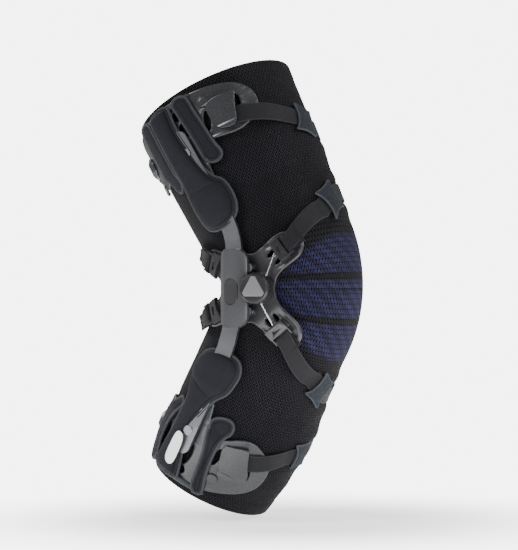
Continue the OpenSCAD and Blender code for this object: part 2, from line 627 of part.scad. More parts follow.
module tension_plate() {
    color([0.36, 0.37, 0.39]) difference() {
        union() {
            at_side(plate_x) linear_extrude(arm_t) {
                stadium(64, 30);
                translate([dial_y, 0]) circle(16);
                translate([0, -16]) square([dial_y, 32]);
                for (up = [-1, 1]) mirror([0, up < 0 ? 1 : 0]) {
                    neck(front_arm_root, arm_plan(1, up), neck_back[0], arm_w - 5);
                    neck(rear_arm_root, -rear_arm_plan, neck_back[1], arm_w - 3);
                }
            }
            for (front = [-1, 1], up = [-1, 1]) arm_frame(front, up) arm(front);
        }
        for (k = [-1, 1]) translate([0, 0, k * pitch_r]) rotate([0, 90, 0]) cylinder(h = 200, r = axle_r + run_gap);
        // two openings beside each cable
        at_side(plate_x - 1) linear_extrude(arm_t + 2) for (up = [-1, 1]) mirror([0, up < 0 ? 1 : 0])
            translate(front_arm_root) rotate(-arm_plan(1, up)) for (k = [-1, 1]) translate([k * 5.5, -4])
                rotate(90) stadium(7, 3.6);
        // keeps the arms' roots clear of the hinge plates and the dial
        at_side(plate_top_x) linear_extrude(30) {
            stadium(64, 32);
            translate([dial_y, 0]) circle(15);
        }
        bar_room();
        // clears the way of the sliders over the roots of their arms
        for (up = [-1, 1]) arm_frame(1, up) {
            translate([0, -slider_w / 2 - 0.1, track_from - 0.6]) cube([rail_h - 0.1, slider_w + 0.2, track_len]);
            translate([0, -neck_w / 2 - 0.1, track_from - 0.6]) cube([20, neck_w + 0.2, track_len]);
        }
    }
}

// Room for the side bars to swing over the arms and what is on them
module bar_room() {
    translate([bar_x - 0.5, -60, -60]) cube([40, 75, 120]);
    for (z = [-60, 22]) translate([bar_x - 0.5, 0, z]) cube([40, 26, 38]);
}

// Slider: a T-shaped block in the arm's rails, with two cheeks that hold the strap's bar
slider_top = rail_h + lip_t + 1.6;
bar_pin_r = 1.3;
bar_pin_x = 3.9;
cheek_len = 6;
slider_w = arm_w - 2 * rail_w - 2 * slide_gap;
neck_w = slider_w - 2 * lip_w - slide_gap;
module slider_block(top) {
    difference() {
        union() {
            translate([slide_gap, -slider_w / 2, slider_at]) cube([rail_h - 2 * slide_gap, slider_w, slider_len]);
            translate([slide_gap, -neck_w / 2, slider_at]) cube([top, neck_w, slider_len]);
            for (k = [-1, 1]) translate([1, k * (neck_w / 2 - 0.6) - 0.6, slider_at + slider_len - 1])
                cube([5, 1.2, cheek_len + 1]);
            translate([bar_pin_x, -neck_w / 2 + 0.2, pin_z]) rotate([-90, 0, 0])
                cylinder(h = neck_w - 0.4, r = bar_pin_r);
        }
        // window in the slider's top
        translate([top - 1.6, -4, slider_at + 3]) cube([4, 8, 3]);
    }
}
module rear_buckles() {
    color([0.24, 0.24, 0.26]) difference() {
        for (up = [-1, 1]) arm_frame(-1, up) slider_block(rail_h + lip_t + 0.2);
        bar_room();
    }
}
module slider_upper() { color([0.24, 0.24, 0.26]) arm_frame(1, 1) slider_block(slider_top); }
module slider_lower() { color([0.24, 0.24, 0.26]) arm_frame(1, -1) slider_block(slider_top); }

// A point given in an arm's frame, as the arm's own turns place it
function turn_x(p, a) = [p[0], p[1] * cos(a) - p[2] * sin(a), p[1] * sin(a) + p[2] * cos(a)];
function turn_y(p, a) = [p[0] * cos(a) + p[2] * sin(a), p[1], -p[0] * sin(a) + p[2] * cos(a)];
function turn_z(p, a) = [p[0] * cos(a) - p[1] * sin(a), p[0] * sin(a) + p[1] * cos(a), p[2]];
function on_arm(front, up, p) =
    let(root = front > 0 ? front_arm_root : rear_arm_root,
        plan = arm_plan(front, up),
        dip = front > 0 ? front_arm_dip : rear_arm_dip,
        roll = front > 0 ? front_arm_roll : rear_arm_roll,
        q = [plate_top_x, root[0], root[1]]
            + turn_x(turn_y(turn_z(p, front * roll), -dip), -front * plan))
    [q[0], q[1], up * q[2]];

// Strap end: webbing folded round a slider's bar and running on to the leg. The lower layer comes
// first in the path, then the turn round the bar, then the upper layer with its run to the leg.
fold_len = 15;
fold_r = bar_pin_r + 0.35;
fold_w = min(knee_strap_w, neck_w - 4);
pin_z = slider_at + slider_len + cheek_len - 2.4;
turn_steps = 6;
function fold_path(r) = concat([[bar_pin_x - r, pin_z + fold_len]],
    [for (k = [0 : turn_steps]) let(a = 180 + k * 180 / turn_steps)
        [bar_pin_x + r * cos(a), pin_z + r * sin(a)]]);
run_steps = 9;
// The upper layer turns from the bar's own lie to the leg's over its run
module strap_end(front, up, phi, s, turn) {
    side = front > 0 ? 1 : -1;
    function edge(k, u, lift) = let(
        flat = on_arm(front, up, [bar_pin_x + fold_r + lift, -side * k * fold_w / 2, pin_z + u * 30]),
        laid = on_leg(s + up * k * knee_strap_w / 2 * cos(turn),
            phi - side * (1 - u) * 28 - side * k * knee_strap_w / 2 * sin(turn) * 0.9, strap_lift + lift),
        w = u * u * (3 - 2 * u)) flat * (1 - w) + laid * w;
    function grid(lift) = [for (k = [-1, 1]) concat(
        [for (p = fold_path(fold_r + lift)) on_arm(front, up, [p[0], -side * k * fold_w / 2, p[1]])],
        [for (i = [1 : run_steps]) edge(k, i / run_steps, lift)])];
    shell(grid(0), grid(strap_t));
}
module strap_end_upper() { color([0.07, 0.07, 0.09]) strap_end(1, 1, upper_start[0], upper_start[1], 20); }
module strap_end_lower() { color([0.07, 0.07, 0.09]) strap_end(1, -1, lower_start[0], lower_start[1], 35); }
module rear_strap_ends() {
    color([0.07, 0.07, 0.09]) {
        strap_end(-1, 1, upper_end[0] - 360, upper_end[1], 20);
        strap_end(-1, -1, lower_end[0] - 360, lower_end[1], 20);
    }
}

// ---- knee straps: from the front sliders round the leg to the rear buckles ---------------------------
upper_start = [70, 41];
lower_start = [70, -54];
upper_end = [284, 56];
lower_end = [284, -60];
upper_route = [[74, 43], [95, 55], [150, 66], [200, 69], [250, 68], [282.5, 57]];
lower_route = [[74, -56.5], [95, -70], [150, -74], [200, -72], [250, -70], [282.5, -61]];
module knee_strap_upper() { color([0.07, 0.07, 0.09]) leg_strap(upper_route, [[0, strap_lift]], knee_strap_w, strap_t); }
module knee_strap_lower() { color([0.07, 0.07, 0.09]) leg_strap(lower_route, [[0, strap_lift]], knee_strap_w, strap_t); }
module knee_strap_tabs() {
    color([0.16, 0.18, 0.22]) {
        tab(75, 95, upper_route);
        tab(75, 95, lower_route);
    }
}

// ---- dial ----------------------------------------------------------------------------------------------
base_outer_r = 13.5;
cavity_r = 11;
base_h = 8;
base_floor = 2.4;
knob_h = 7;
shaft_r = 1.6;
core_r = 7;
cable_x = 3.2;
spool_h = 3.6;
drum_mid = base_floor + 0.2 + spool_h / 2;

// Local frame of the dial: z out along its axis, x down, y to the front
dial_x = plate_top_x + 2.6;
module dial_frame() { translate([dial_x, dial_y, 0]) rotate([0, 0, dial_tilt]) rotate([0, 90, 0]) children(); }
function on_dial(p) = [dial_x + p[2] * cos(dial_tilt) - p[1] * sin(dial_tilt),
    dial_y + p[2] * sin(dial_tilt) + p[1] * cos(dial_tilt), -p[0]];

// Each cable runs straight from the drum's side to its slider, so that one turn winds both
function cable_outer(up) = on_arm(1, up, [cable_x, 0, slider_at - 0.6]);
function cable_inner(up) = let(p = cable_outer(up) - on_dial([0, 0, 0]), d = [-p[2], p[1]] / norm([p[2], p[1]]),
    r = spool_r + cable_d / 2 + 0.1) on_dial([d[1] * r, -d[0] * r, drum_mid]);
module rod(p, q, r) {
    v = q - p;
    translate(p) rotate([0, acos(v[2] / norm(v)), atan2(v[1], v[0])]) cylinder(h = norm(v), r = r);
}
module cable(up, r) { rod(cable_inner(up), cable_outer(up), r); }
module cable_upper() { color("white") cable(1, cable_d / 2); }
module cable_lower() { color("white") cable(-1, cable_d / 2); }

module dial_base() {
    color([0.3, 0.31, 0.33]) difference() {
        dial_frame() difference() {
            translate([0, 0, -4]) cylinder(h = base_h + 4, r = base_outer_r);
            translate([0, 0, base_floor]) cylinder(h = base_h, r = cavity_r);
        }
        translate([-100 + plate_top_x + 0.02, -50, -50]) cube([100, 100, 100]);
        for (up = [-1, 1]) cable(up, cable_d / 2 + 0.8);
        dial_frame() translate([0, 0, -10]) cylinder(h = 30, r = shaft_r + run_gap);
        // clear of the hinge's plates and cover
        at_side(plate_top_x - 1) linear_extrude(40) stadium(cover_len, 2 * (stop_places[1][0] + stop_r) + 1.4);
    }
}

module dial_spool() {
    color([0.75, 0.75, 0.78]) dial_frame() difference() {
        translate([0, 0, base_floor + 0.2]) {
            cylinder(h = 0.6, r = spool_r + 1.2);
            cylinder(h = spool_h, r = spool_r);
            translate([0, 0, spool_h - 0.6]) cylinder(h = 0.6, r = spool_r + 1.2);
        }
        translate([0, 0, -1]) cylinder(h = 20, r = shaft_r + 0.02);
    }
}
module dial_core() {
    color([0.2, 0.2, 0.22]) dial_frame() {
        translate([0, 0, -1.5]) cylinder(h = base_h + 3, r = shaft_r);
        translate([0, 0, base_floor + spool_h + 0.4]) cylinder(h = base_h - base_floor - spool_h + 1.1, r = core_r);
    }
}
module dial_knob() {
    color([0.33, 0.34, 0.36]) dial_frame() translate([0, 0, base_h + 0.3]) difference() {
        union() {
            cylinder(h = knob_h - 2, r = knob_r);
            translate([0, 0, knob_h - 2]) cylinder(h = 2, r1 = knob_r, r2 = knob_r - 1.4);
            for (k = [0 : 23]) rotate(k * 15) translate([knob_r, 0, 0.6]) cylinder(h = knob_h - 3, r = 0.5);
        }
        translate([0, 0, -1]) cylinder(h = 2.3, r = core_r + run_gap);
        translate([0, 0, knob_h - 1.5]) linear_extrude(3) cap_outline(0.15);
        translate([0, 0, -1]) cylinder(h = 20, r = 2);
    }
}
// Three-sided cap with cut corners
module cap_outline(grow) {
    r = 10.4 + grow;
    intersection() {
        circle(r, $fn = 60);
        polygon([for (k = [0 : 2]) 13.6 * [cos(k * 120 + 180), sin(k * 120 + 180)] * (1 + grow / 8)]);
    }
}
module dial_cap() {
    color([0.62, 0.63, 0.65]) dial_frame() translate([0, 0, base_h + 0.3 + knob_h - 1.45]) {
        linear_extrude(2.2) cap_outline(0);
        translate([0, 0, -3]) cylinder(h = 3.1, r = 1.9);
    }
}

// ---- drawing ---------------------------------------------------------------------------------------------
thigh_sleeve();
knee_sleeve();
calf_sleeve();
patella_pad();
hem_grips_thigh();
hem_grips_calf();
thigh_cuff();
calf_cuff();
thigh_bar();
calf_bar();
thigh_rivets();
calf_rivets();
thigh_strap_guides();
calf_strap_guides();
thigh_strap();
calf_strap();
thigh_strap_tab();
calf_strap_tab();
thigh_bar_pocket();
thigh_front_finger();
thigh_rear_finger();
thigh_finger_hem();
calf_bar_pocket();
calf_front_finger();
calf_rear_finger();
calf_finger_hem();
size_label();
hinge_inner_plate();
hinge_outer_plate();
hinge_axles();
hinge_washers();
extension_stops();
hinge_cover();
cover_badge();
tension_plate();
rear_buckles();
knee_strap_upper();
knee_strap_lower();
knee_strap_tabs();
rear_strap_ends();
slider_upper();
slider_lower();
strap_end_upper();
strap_end_lower();
cable_upper();
cable_lower();
dial_base();
dial_core();
dial_spool();
dial_knob();
dial_cap();
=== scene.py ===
import math

import bmesh
import bpy
from mathutils import Matrix, Vector
from mathutils.kdtree import KDTree
from mathutils.noise import noise as lumps
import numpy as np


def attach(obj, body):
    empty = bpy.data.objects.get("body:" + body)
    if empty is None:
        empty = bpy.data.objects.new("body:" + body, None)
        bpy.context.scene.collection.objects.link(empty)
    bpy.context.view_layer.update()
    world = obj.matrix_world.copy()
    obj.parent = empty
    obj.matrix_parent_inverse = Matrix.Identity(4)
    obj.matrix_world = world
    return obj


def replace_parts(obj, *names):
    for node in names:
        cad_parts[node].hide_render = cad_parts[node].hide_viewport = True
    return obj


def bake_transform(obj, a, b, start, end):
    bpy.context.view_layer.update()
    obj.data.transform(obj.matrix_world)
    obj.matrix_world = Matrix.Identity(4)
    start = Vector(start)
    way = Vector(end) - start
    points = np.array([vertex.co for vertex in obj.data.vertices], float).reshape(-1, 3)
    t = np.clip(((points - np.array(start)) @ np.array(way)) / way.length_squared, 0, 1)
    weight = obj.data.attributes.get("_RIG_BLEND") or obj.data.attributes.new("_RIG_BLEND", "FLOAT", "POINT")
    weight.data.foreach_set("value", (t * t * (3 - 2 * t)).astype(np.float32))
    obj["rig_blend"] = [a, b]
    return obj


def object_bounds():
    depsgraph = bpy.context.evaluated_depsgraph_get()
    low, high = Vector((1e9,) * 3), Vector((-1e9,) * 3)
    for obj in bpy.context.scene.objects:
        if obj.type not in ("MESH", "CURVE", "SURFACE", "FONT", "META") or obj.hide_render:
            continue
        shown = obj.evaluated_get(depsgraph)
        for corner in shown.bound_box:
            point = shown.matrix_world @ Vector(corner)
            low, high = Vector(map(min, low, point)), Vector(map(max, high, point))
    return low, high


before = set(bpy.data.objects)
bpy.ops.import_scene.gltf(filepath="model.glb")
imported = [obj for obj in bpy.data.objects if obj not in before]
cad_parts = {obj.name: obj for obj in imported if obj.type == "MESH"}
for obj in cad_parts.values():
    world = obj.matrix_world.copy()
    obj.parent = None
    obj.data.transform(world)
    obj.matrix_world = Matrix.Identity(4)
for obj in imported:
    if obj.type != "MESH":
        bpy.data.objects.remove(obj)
cad_box = [list(corner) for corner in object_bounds()]

# ---- Camera -----------------------------------------------------------------------------------
# The brace is seen level, from its hinge side and a little from the front, through a long lens.
AIM = Vector((0.0096, -0.0148, 0.0114))
VIEW_AZIMUTH = math.radians(123)
VIEW_DISTANCE = 2.4
VIEW_HEIGHT = 0.484
camera = bpy.data.objects.new("camera", bpy.data.cameras.new("camera"))
bpy.context.collection.objects.link(camera)
camera.data.lens = camera.data.sensor_width * VIEW_DISTANCE / VIEW_HEIGHT
towards = Vector((math.sin(VIEW_AZIMUTH), -math.cos(VIEW_AZIMUTH), 0))
camera.location = AIM + towards * VIEW_DISTANCE
camera.rotation_euler = (-towards).to_track_quat("-Z", "Y").to_euler()
camera.data.clip_start, camera.data.clip_end = 0.05, 20
bpy.context.scene.camera = camera

# ---- Light and floor ----------------------------------------------------------------------------
# A white room: an even sky, a large soft key light high on the camera's left, a fill on its right
# and a strip behind that draws the edges. The floor is a pale disc just under the lower hem.
def area_light(name, place, size, power):
    lamp = bpy.data.lights.new(name, "AREA")
    lamp.shape, lamp.size, lamp.size_y, lamp.energy = "RECTANGLE", size[0], size[1], power
    holder = bpy.data.objects.new(name, lamp)
    bpy.context.collection.objects.link(holder)
    holder.location = place
    holder.rotation_euler = (AIM - Vector(place)).to_track_quat("-Z", "Y").to_euler()


area_light("key", (1.25, -0.75, 1.15), (0.5, 0.9), 26)
area_light("fill", (0.55, 1.5, 0.35), (0.5, 1.4), 13)
area_light("edge", (-0.9, 0.9, 0.9), (0.5, 1.2), 16)
area_light("rear", (-0.5, -1.5, 0.8), (0.9, 0.9), 14)

world = bpy.data.worlds.new("room")
bpy.context.scene.world = world
world.use_nodes = True
sky = world.node_tree.nodes["Background"]
sky.inputs["Color"].default_value = (1, 1, 1, 1)
sky.inputs["Strength"].default_value = 0.42
# the room is white where it is seen and softer where it lights
seen = world.node_tree.nodes.new("ShaderNodeBackground")
seen.inputs["Color"].default_value = (1, 1, 1, 1)
seen.inputs["Strength"].default_value = 6.0
ray = world.node_tree.nodes.new("ShaderNodeLightPath")
either = world.node_tree.nodes.new("ShaderNodeMixShader")
world.node_tree.links.new(ray.outputs["Is Camera Ray"], either.inputs[0])
world.node_tree.links.new(sky.outputs[0], either.inputs[1])
world.node_tree.links.new(seen.outputs[0], either.inputs[2])
world.node_tree.links.new(either.outputs[0], world.node_tree.nodes["World Output"].inputs["Surface"])

FLOOR_RADIUS = 0.5
disc = bmesh.new()
bmesh.ops.create_circle(disc, cap_ends=True, segments=96, radius=FLOOR_RADIUS,
                        matrix=Matrix.Translation((0, 0, cad_box[0][2] - 0.004)))
floor = bpy.data.objects.new("floor", bpy.data.meshes.new("floor"))
disc.to_mesh(floor.data)
bpy.context.collection.objects.link(floor)


# ---- Knitted sleeve -------------------------------------------------------------------------------
# One seamless tube of black spacer knit, knitted in the round and shaped to a bent leg, with a
# blue-violet jacquard over the kneecap and a turned hem at each end. It is made here in an upper and
# a lower half that meet at the hinge line, so that each can follow its own pivot.
MM = 0.001
HALF_BEND = math.radians(28.5)
KNEE_ARC_R = 70
ARC = KNEE_ARC_R * HALF_BEND
KNEE_FORWARD = 13.4
THIGH_LEN, CALF_LEN = 151, 160
TOP, BOTTOM = ARC + THIGH_LEN, -ARC - CALF_LEN
# Half sizes [front, back, side] of the leg at shares of the thigh's and the calf's stretch
THIGH_SECTIONS = [(0, (65, 63, 60)), (0.27, (67, 66, 64)), (0.63, (70, 70, 69)), (1, (72, 72, 71))]
CALF_SECTIONS = [(0, (62, 61, 58)), (0.25, (61, 60, 59)), (0.56, (66, 60, 60)), (0.81, (63, 58, 57.5)),
                 (1, (55, 54, 54))]
KNEE_SECTION = (64, 62, 58)
KNIT_T = 3


def lookup(x, table):
    """The value at x in a list of (x, value), straight between its entries and level past its ends."""
    if x <= table[0][0]:
        return table[0][1]
    for (x0, v0), (x1, v1) in zip(table, table[1:]):
        if x <= x1:
            u = (x - x0) / (x1 - x0)
            if isinstance(v0, tuple):
                return tuple(a + (b - a) * u for a, b in zip(v0, v1))
            return v0 + (v1 - v0) * u
    return table[-1][1]


def ease(x, start, end):
    u = min(1, max(0, (x - start) / (end - start)))
    return u * u * (3 - 2 * u)


def half_sizes(s):
    if s > ARC:
        return lookup((s - ARC) / THIGH_LEN, THIGH_SECTIONS)
    if s < -ARC:
        return lookup((-s - ARC) / CALF_LEN, CALF_SECTIONS)
    end = THIGH_SECTIONS[0][1] if s > 0 else CALF_SECTIONS[0][1]
    return lookup(abs(s) / ARC, [(0, KNEE_SECTION), (1, end)])


def on_leg(s, phi, off):
    """The point at s along the leg (0 at the hinge, up is positive) and phi round it (0 at the hinge
    side, a quarter turn at the front), raised by off. It takes millimetres and gives metres."""
    front, back, side = half_sizes(s)
    a = min(HALF_BEND, max(-HALF_BEND, s / KNEE_ARC_R))
    past = max(abs(s) - ARC, 0)
    n = (front if math.sin(phi) > 0 else back) + off
    y = KNEE_FORWARD - KNEE_ARC_R * (1 - math.cos(a)) - past * math.sin(HALF_BEND)
    z = KNEE_ARC_R * math.sin(a) + math.copysign(past, s) * math.cos(HALF_BEND)
    return Vector(((side + off) * math.cos(phi), y + n * math.sin(phi) * math.cos(a),
                   z + n * math.sin(phi) * math.sin(a))) * MM


def round_leg(s, q):
    """The angle that lies q millimetres round the leg from the hinge side."""
    front, back, side = half_sizes(s)
    return 4 * q / (front + back + 2 * side)


def add_piece(name, bm, finish, body=None, smooth=True):
    """Makes a bmesh an object with a finish, riding on a body."""
    bmesh.ops.recalc_face_normals(bm, faces=bm.faces)
    mesh = bpy.data.meshes.new(name)
    bm.to_mesh(mesh)
    bm.free()
    if smooth:
        mesh.shade_smooth()
    piece = bpy.data.objects.new(name if name not in bpy.data.objects else f"{name}_made", mesh)
    bpy.context.collection.objects.link(piece)
    mesh.materials.append(finish)
    if body:
        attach(piece, body)
    return piece


class Value:
    """A socket in a material, on which sums can be written as Python."""

    def __init__(self, tree, socket):
        self.tree, self.socket = tree, socket

    def maths(self, operation, *others):
        node = self.tree.nodes.new("ShaderNodeMath")
        node.operation = operation
        for place, other in enumerate((self, *others)):
            if isinstance(other, Value):
                self.tree.links.new(other.socket, node.inputs[place])
            else:
                node.inputs[place].default_value = other
        return Value(self.tree, node.outputs[0])

    def __add__(self, other):
        return self.maths("ADD", other)

    def __sub__(self, other):
        return self.maths("SUBTRACT", other)

    def __mul__(self, other):
        return self.maths("MULTIPLY", other)

    def __truediv__(self, other):
        return self.maths("DIVIDE", other)

    def __rsub__(self, other):
        return (self * -1) + other

    def __mod__(self, other):
        return self.maths("FLOORED_MODULO", other)

    def __abs__(self):
        return self.maths("ABSOLUTE")

    __radd__, __rmul__ = __add__, __mul__


class Finish:
    """A procedural material built on one Principled shader."""

    def __init__(self, name, **constants):
        self.material = bpy.data.materials.new(name)
        self.material.use_nodes = True
        self.tree = self.material.node_tree
        self.shader = self.tree.nodes["Principled BSDF"]
        for socket, value in constants.items():
            self.shader.inputs[socket.replace("_", " ")].default_value = value

    def node(self, kind, settings=(), sockets=(), out=0):
        """A node of a kind, with its settings, its sockets' values or links, and one output."""
        made = self.tree.nodes.new("ShaderNode" + kind)
        for setting, value in dict(settings).items():
            setattr(made, setting, value)
        for socket, value in dict(sockets).items():
            if isinstance(value, Value):
                self.tree.links.new(value.socket, made.inputs[socket])
            else:
                made.inputs[socket].default_value = value
        return Value(self.tree, made.outputs[out])

    def object_place(self):
        return self.node("TexCoord", out="Object")

    def laid_place(self):
        """The piece's own UV map, in millimetres: x round the piece or along it, and y across."""
        parts = self.tree.nodes.new("ShaderNodeSeparateXYZ")
        uv = self.node("UVMap", {"uv_map": "laid"})
        self.tree.links.new(uv.socket, parts.inputs[0])
        return Value(self.tree, parts.outputs["X"]), Value(self.tree, parts.outputs["Y"])

    def measure(self, attribute):
        return self.node("Attribute", {"attribute_name": attribute}, out="Fac")

    def grain(self, place, scale, detail=3, roughness=0.55):
        return self.node("TexNoise", {}, {"Vector": place, "Scale": scale, "Detail": detail,
                                          "Roughness": roughness}, out="Fac")

    def step(self, value, start, end, low=0.0, high=1.0):
        return self.node("MapRange", {"interpolation_type": "SMOOTHSTEP"},
                         {"Value": value, "From Min": start, "From Max": end, "To Min": low, "To Max": high})

    def blend(self, share, first, second):
        """first where share is 0 and second where it is 1. Both are colours."""
        made = self.tree.nodes.new("ShaderNodeMix")
        made.data_type = "RGBA"
        for place, value in ((0, share), (6, first), (7, second)):
            if isinstance(value, Value):
                self.tree.links.new(value.socket, made.inputs[place])
            else:
                made.inputs[place].default_value = (*value, 1) if isinstance(value, tuple) else value
        return Value(self.tree, made.outputs[2])

    def feed(self, **links):
        for socket, value in links.items():
            self.tree.links.new(value.socket, self.shader.inputs[socket.replace("_", " ")])

    def relief(self, height, depth_mm, strength=1.0):
        """Raises the surface by height, which goes from 0 to 1, through the normal."""
        self.feed(Normal=self.node("Bump", {}, {"Height": height, "Distance": depth_mm * MM,
                                                "Strength": strength}, out="Normal"))


STITCH_W, STITCH_H = 3.0, 2.4
# the gap colours are painted shade: near-black copies of each yarn for the openings between the stitches
BLACK_YARN, BLACK_GAP_SHADE = (0.0215, 0.0195, 0.0270), (0.0008, 0.0008, 0.0012)
VIOLET_YARN, VIOLET_GAP_SHADE = (0.056, 0.052, 0.150), (0.0030, 0.0028, 0.0110)
CORAL_YARN = (0.62, 0.20, 0.13)


def knit_finish():
    """V-shaped stitches in slanting rows. x is the angle round the leg times 60.5 mm, y is s."""
    knit = Finish("knit", Roughness=0.82, Sheen_Weight=0.02, Sheen_Roughness=0.45)
    knit.shader.inputs["Specular IOR Level"].default_value = 0.12
    x, y = knit.laid_place()
    place = knit.object_place()
    wander = knit.grain(place, 70, 2) - 0.5
    row = (y / STITCH_H + wander * 0.25).maths("FLOOR")
    across = (x / STITCH_W + row * 0.5) % 1.0 - 0.5
    up = (y / STITCH_H + wander * 0.25) % 1.0 - 0.5
    strand = abs(abs(across) - 0.27 - up * 0.22)
    stitch = 1 - knit.step(strand, 0.03, 0.20)
    crossing = 1 - knit.step(abs(up), 0.30, 0.5, 0.0, 0.8)
    loop = stitch * crossing
    # the kneecap's jacquard, an oval with a wavy border and two dark shaping lines
    px = (x - 96 + (y + 5) * 0.12) / 82
    py = (y + 5) / 31
    oval = (px * px + py * py + (knit.grain(place, 45, 1) - 0.5) * 0.10).maths("SQRT")
    kneecap = 1 - knit.step(oval, 0.90, 1.06)
    bend = (px * px) * 2.5
    line_up = knit.step(abs(y - 5.5 - bend), 0.9, 2.6)
    line_low = knit.step(abs(y + 15.5 + bend), 0.9, 2.6)
    fade = knit.step(knit.grain(place, 26, 2), 0.36, 0.62)
    violet = kneecap * line_up * line_low
    diagonal = ((x * 0.5 + y) / (STITCH_H * 3.0)) % 1.0
    rows_of_light = knit.step(abs(diagonal - 0.5), 0.12, 0.40, 0.35, 1.0)
    yarn = knit.blend(violet * rows_of_light, BLACK_YARN, VIOLET_YARN)
    gap_shade = knit.blend(violet, BLACK_GAP_SHADE, VIOLET_GAP_SHADE)
    coral_line = 1 - knit.step(abs(x - 131 - (y + 4).maths("ABSOLUTE") * 0.10), 0.9, 2.0)
    coral = coral_line * (1 - knit.step(abs(y - 2), 34, 46))
    yarn = knit.blend(coral * 0.9, yarn, CORAL_YARN)
    # painted shade: the openings between the loops, and the crossings of the rows, take the shaded gap colour; the
    # loops take the yarn
    tone = knit.blend(loop * (0.72 + fade * 0.28), gap_shade, yarn)
    knit.feed(Base_Color=tone, Roughness=0.90 - loop * 0.16)
    knit.relief(loop * 0.8 + wander * 0.3, 1.1)
    return knit.material


knit = knit_finish()
# Bands that press the knit in, as [phi in degrees, s] along their middles
UPPER_STRAP = [(52, 31), (70, 41), (95, 55), (150, 66), (200, 69), (250, 68), (284, 56)]
LOWER_STRAP = [(52, -43), (70, -54), (95, -70), (150, -74), (200, -72), (250, -70), (284, -60)]
THIGH_STRAP = [(30, 143), (40, 142.7), (62, 136), (80, 129.5), (105, 120), (180, 124), (240, 140), (302, 151.8)]
CALF_STRAP = [(34, -144), (48, -143), (68, -134), (82, -128), (105, -124), (180, -136), (240, -150), (302, -160.8)]
HEM = 12


def swell(x, middle, width):
    return math.exp(-(((x - middle) / width) ** 2))


def knit_lift(s, phi):
    """How far the knit stands off the smooth leg, in millimetres, with its folds and hems."""
    d = math.degrees(phi) % 360
    lift = 0.25 * lumps(Vector((math.cos(phi) * 2.2, math.sin(phi) * 2.2, s / 26)))
    front = ease(d, 68, 96) * (1 - ease(d, 250, 285))
    for strap, half in ((UPPER_STRAP, 8), (LOWER_STRAP, 8), (THIGH_STRAP, 7.5), (CALF_STRAP, 7.5)):
        away = abs(s - lookup(d, strap)) - half
        lift += front * (1.5 * swell(away, 7.5, 6) - 0.5 * (1 - ease(away, -1, 3)))
    # slack above the calf strap and soft creases across the back of the knee
    lift += 2.6 * swell(s, -103, 17) * swell(d, 118, 46)
    lift += 1.6 * swell(s, 97, 12) * swell(d, 112, 34)
    back = swell(d, 262, 46)
    lift += back * (1.6 * math.cos(s / 7.5 + 0.5 * math.sin(phi * 3)) * swell(s, 0, 34) - 1.2 * swell(s, 0, 26))
    slant = s + 0.55 * (d - 95)
    lift += 0.7 * math.sin(slant / 6.5) * swell(s, -92, 26) * swell(d, 92, 30)
    lift += 0.5 * math.sin(slant / 7 + 1) * swell(s, 110, 24) * swell(d, 88, 26)
    # pulled flat under the cuffs, the plate and the pads
    flat = (1 - ease(d, 62, 84)) + ease(d, 285, 310)
    lift = lift * (1 - flat) + min(lift, 0.2) * flat
    edge = min(TOP - s, s - BOTTOM)
    return lift + 0.55 * (1 - ease(edge, HEM - 1.2, HEM)) - 0.5 * swell(edge, HEM, 0.9)


def sleeve_half(name, s0, s1):
    """The tube from s0 to s1, as a sheet rolled round the leg and joined along the inner side."""
    around, along = 190, round(abs(s1 - s0) / 2.2)
    bm = bmesh.new()
    bmesh.ops.create_grid(bm, x_segments=around, y_segments=along, size=0.5)
    laid = bm.loops.layers.uv.new("laid")
    for face in bm.faces:
        for loop in face.loops:
            loop[laid].uv = ((loop.vert.co.x * 2 * math.pi) * 60.5, s0 + (loop.vert.co.y + 0.5) * (s1 - s0))
    for v in bm.verts:
        phi, s = v.co.x * 2 * math.pi, s0 + (v.co.y + 0.5) * (s1 - s0)
        v.co = on_leg(s, phi, knit_lift(s, phi) - KNIT_T / 2)
    bmesh.ops.remove_doubles(bm, verts=bm.verts, dist=1e-6)
    sleeve = add_piece(name, bm, knit)
    wall = sleeve.modifiers.new("wall", "SOLIDIFY")
    wall.thickness, wall.offset = KNIT_T * MM, 0
    return sleeve


sleeve_upper = sleeve_half("sleeve_upper", 0.0, TOP)
sleeve_lower = sleeve_half("sleeve_lower", BOTTOM, 0.0)
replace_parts(sleeve_upper, "thigh_sleeve", "knee_sleeve")
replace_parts(sleeve_lower, "calf_sleeve")
KNEE_TOP, KNEE_MIDDLE = 0.085, 0.004


def bend_with_knee(piece, upper):
    """Lets a piece turn from the hinge's body to the thigh's or the calf's."""
    far = "thigh" if upper else "calf"
    side = 1 if upper else -1
    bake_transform(piece, far, "hub", start=(0, 0, side * KNEE_TOP), end=(0, 0, side * KNEE_MIDDLE))


bend_with_knee(sleeve_upper, True)
bend_with_knee(sleeve_lower, False)

# ---- Hem grips and kneecap ring -------------------------------------------------------------------
# Inside the sleeve: a silicone band under each hem that holds the brace up on the skin, and a soft
# gel ring round the kneecap.
def moulded(name, colour, roughness, grain_depth=0.05, grain_size=1400, coat=0.0, metallic=0.0, speckle=0.12):
    """Moulded or sprayed stuff with a fine grain, slightly cloudy in tone and in gloss."""
    stuff = Finish(name, Metallic=metallic, Coat_Weight=coat, Coat_Roughness=0.3)
    place = stuff.object_place()
    fine = stuff.grain(place, grain_size, 2, 0.6)
    cloud = stuff.grain(place, 38, 3)
    dark = tuple(c * (1 - speckle) for c in colour)
    light = tuple(min(1, c * (1 + speckle)) for c in colour)
    stuff.feed(Base_Color=stuff.blend(stuff.step(cloud * 0.6 + fine * 0.4, 0.38, 0.62), dark, light),
               Roughness=(fine - 0.5) * 0.14 + cloud * 0.10 + (roughness - 0.05))
    stuff.relief(fine, grain_depth)
    return stuff.material


def paint_node(node, finish):
    """Gives a CAD node that stays as it is a finish on all its slots."""
    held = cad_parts[node].data.materials
    held.clear()
    held.append(finish)


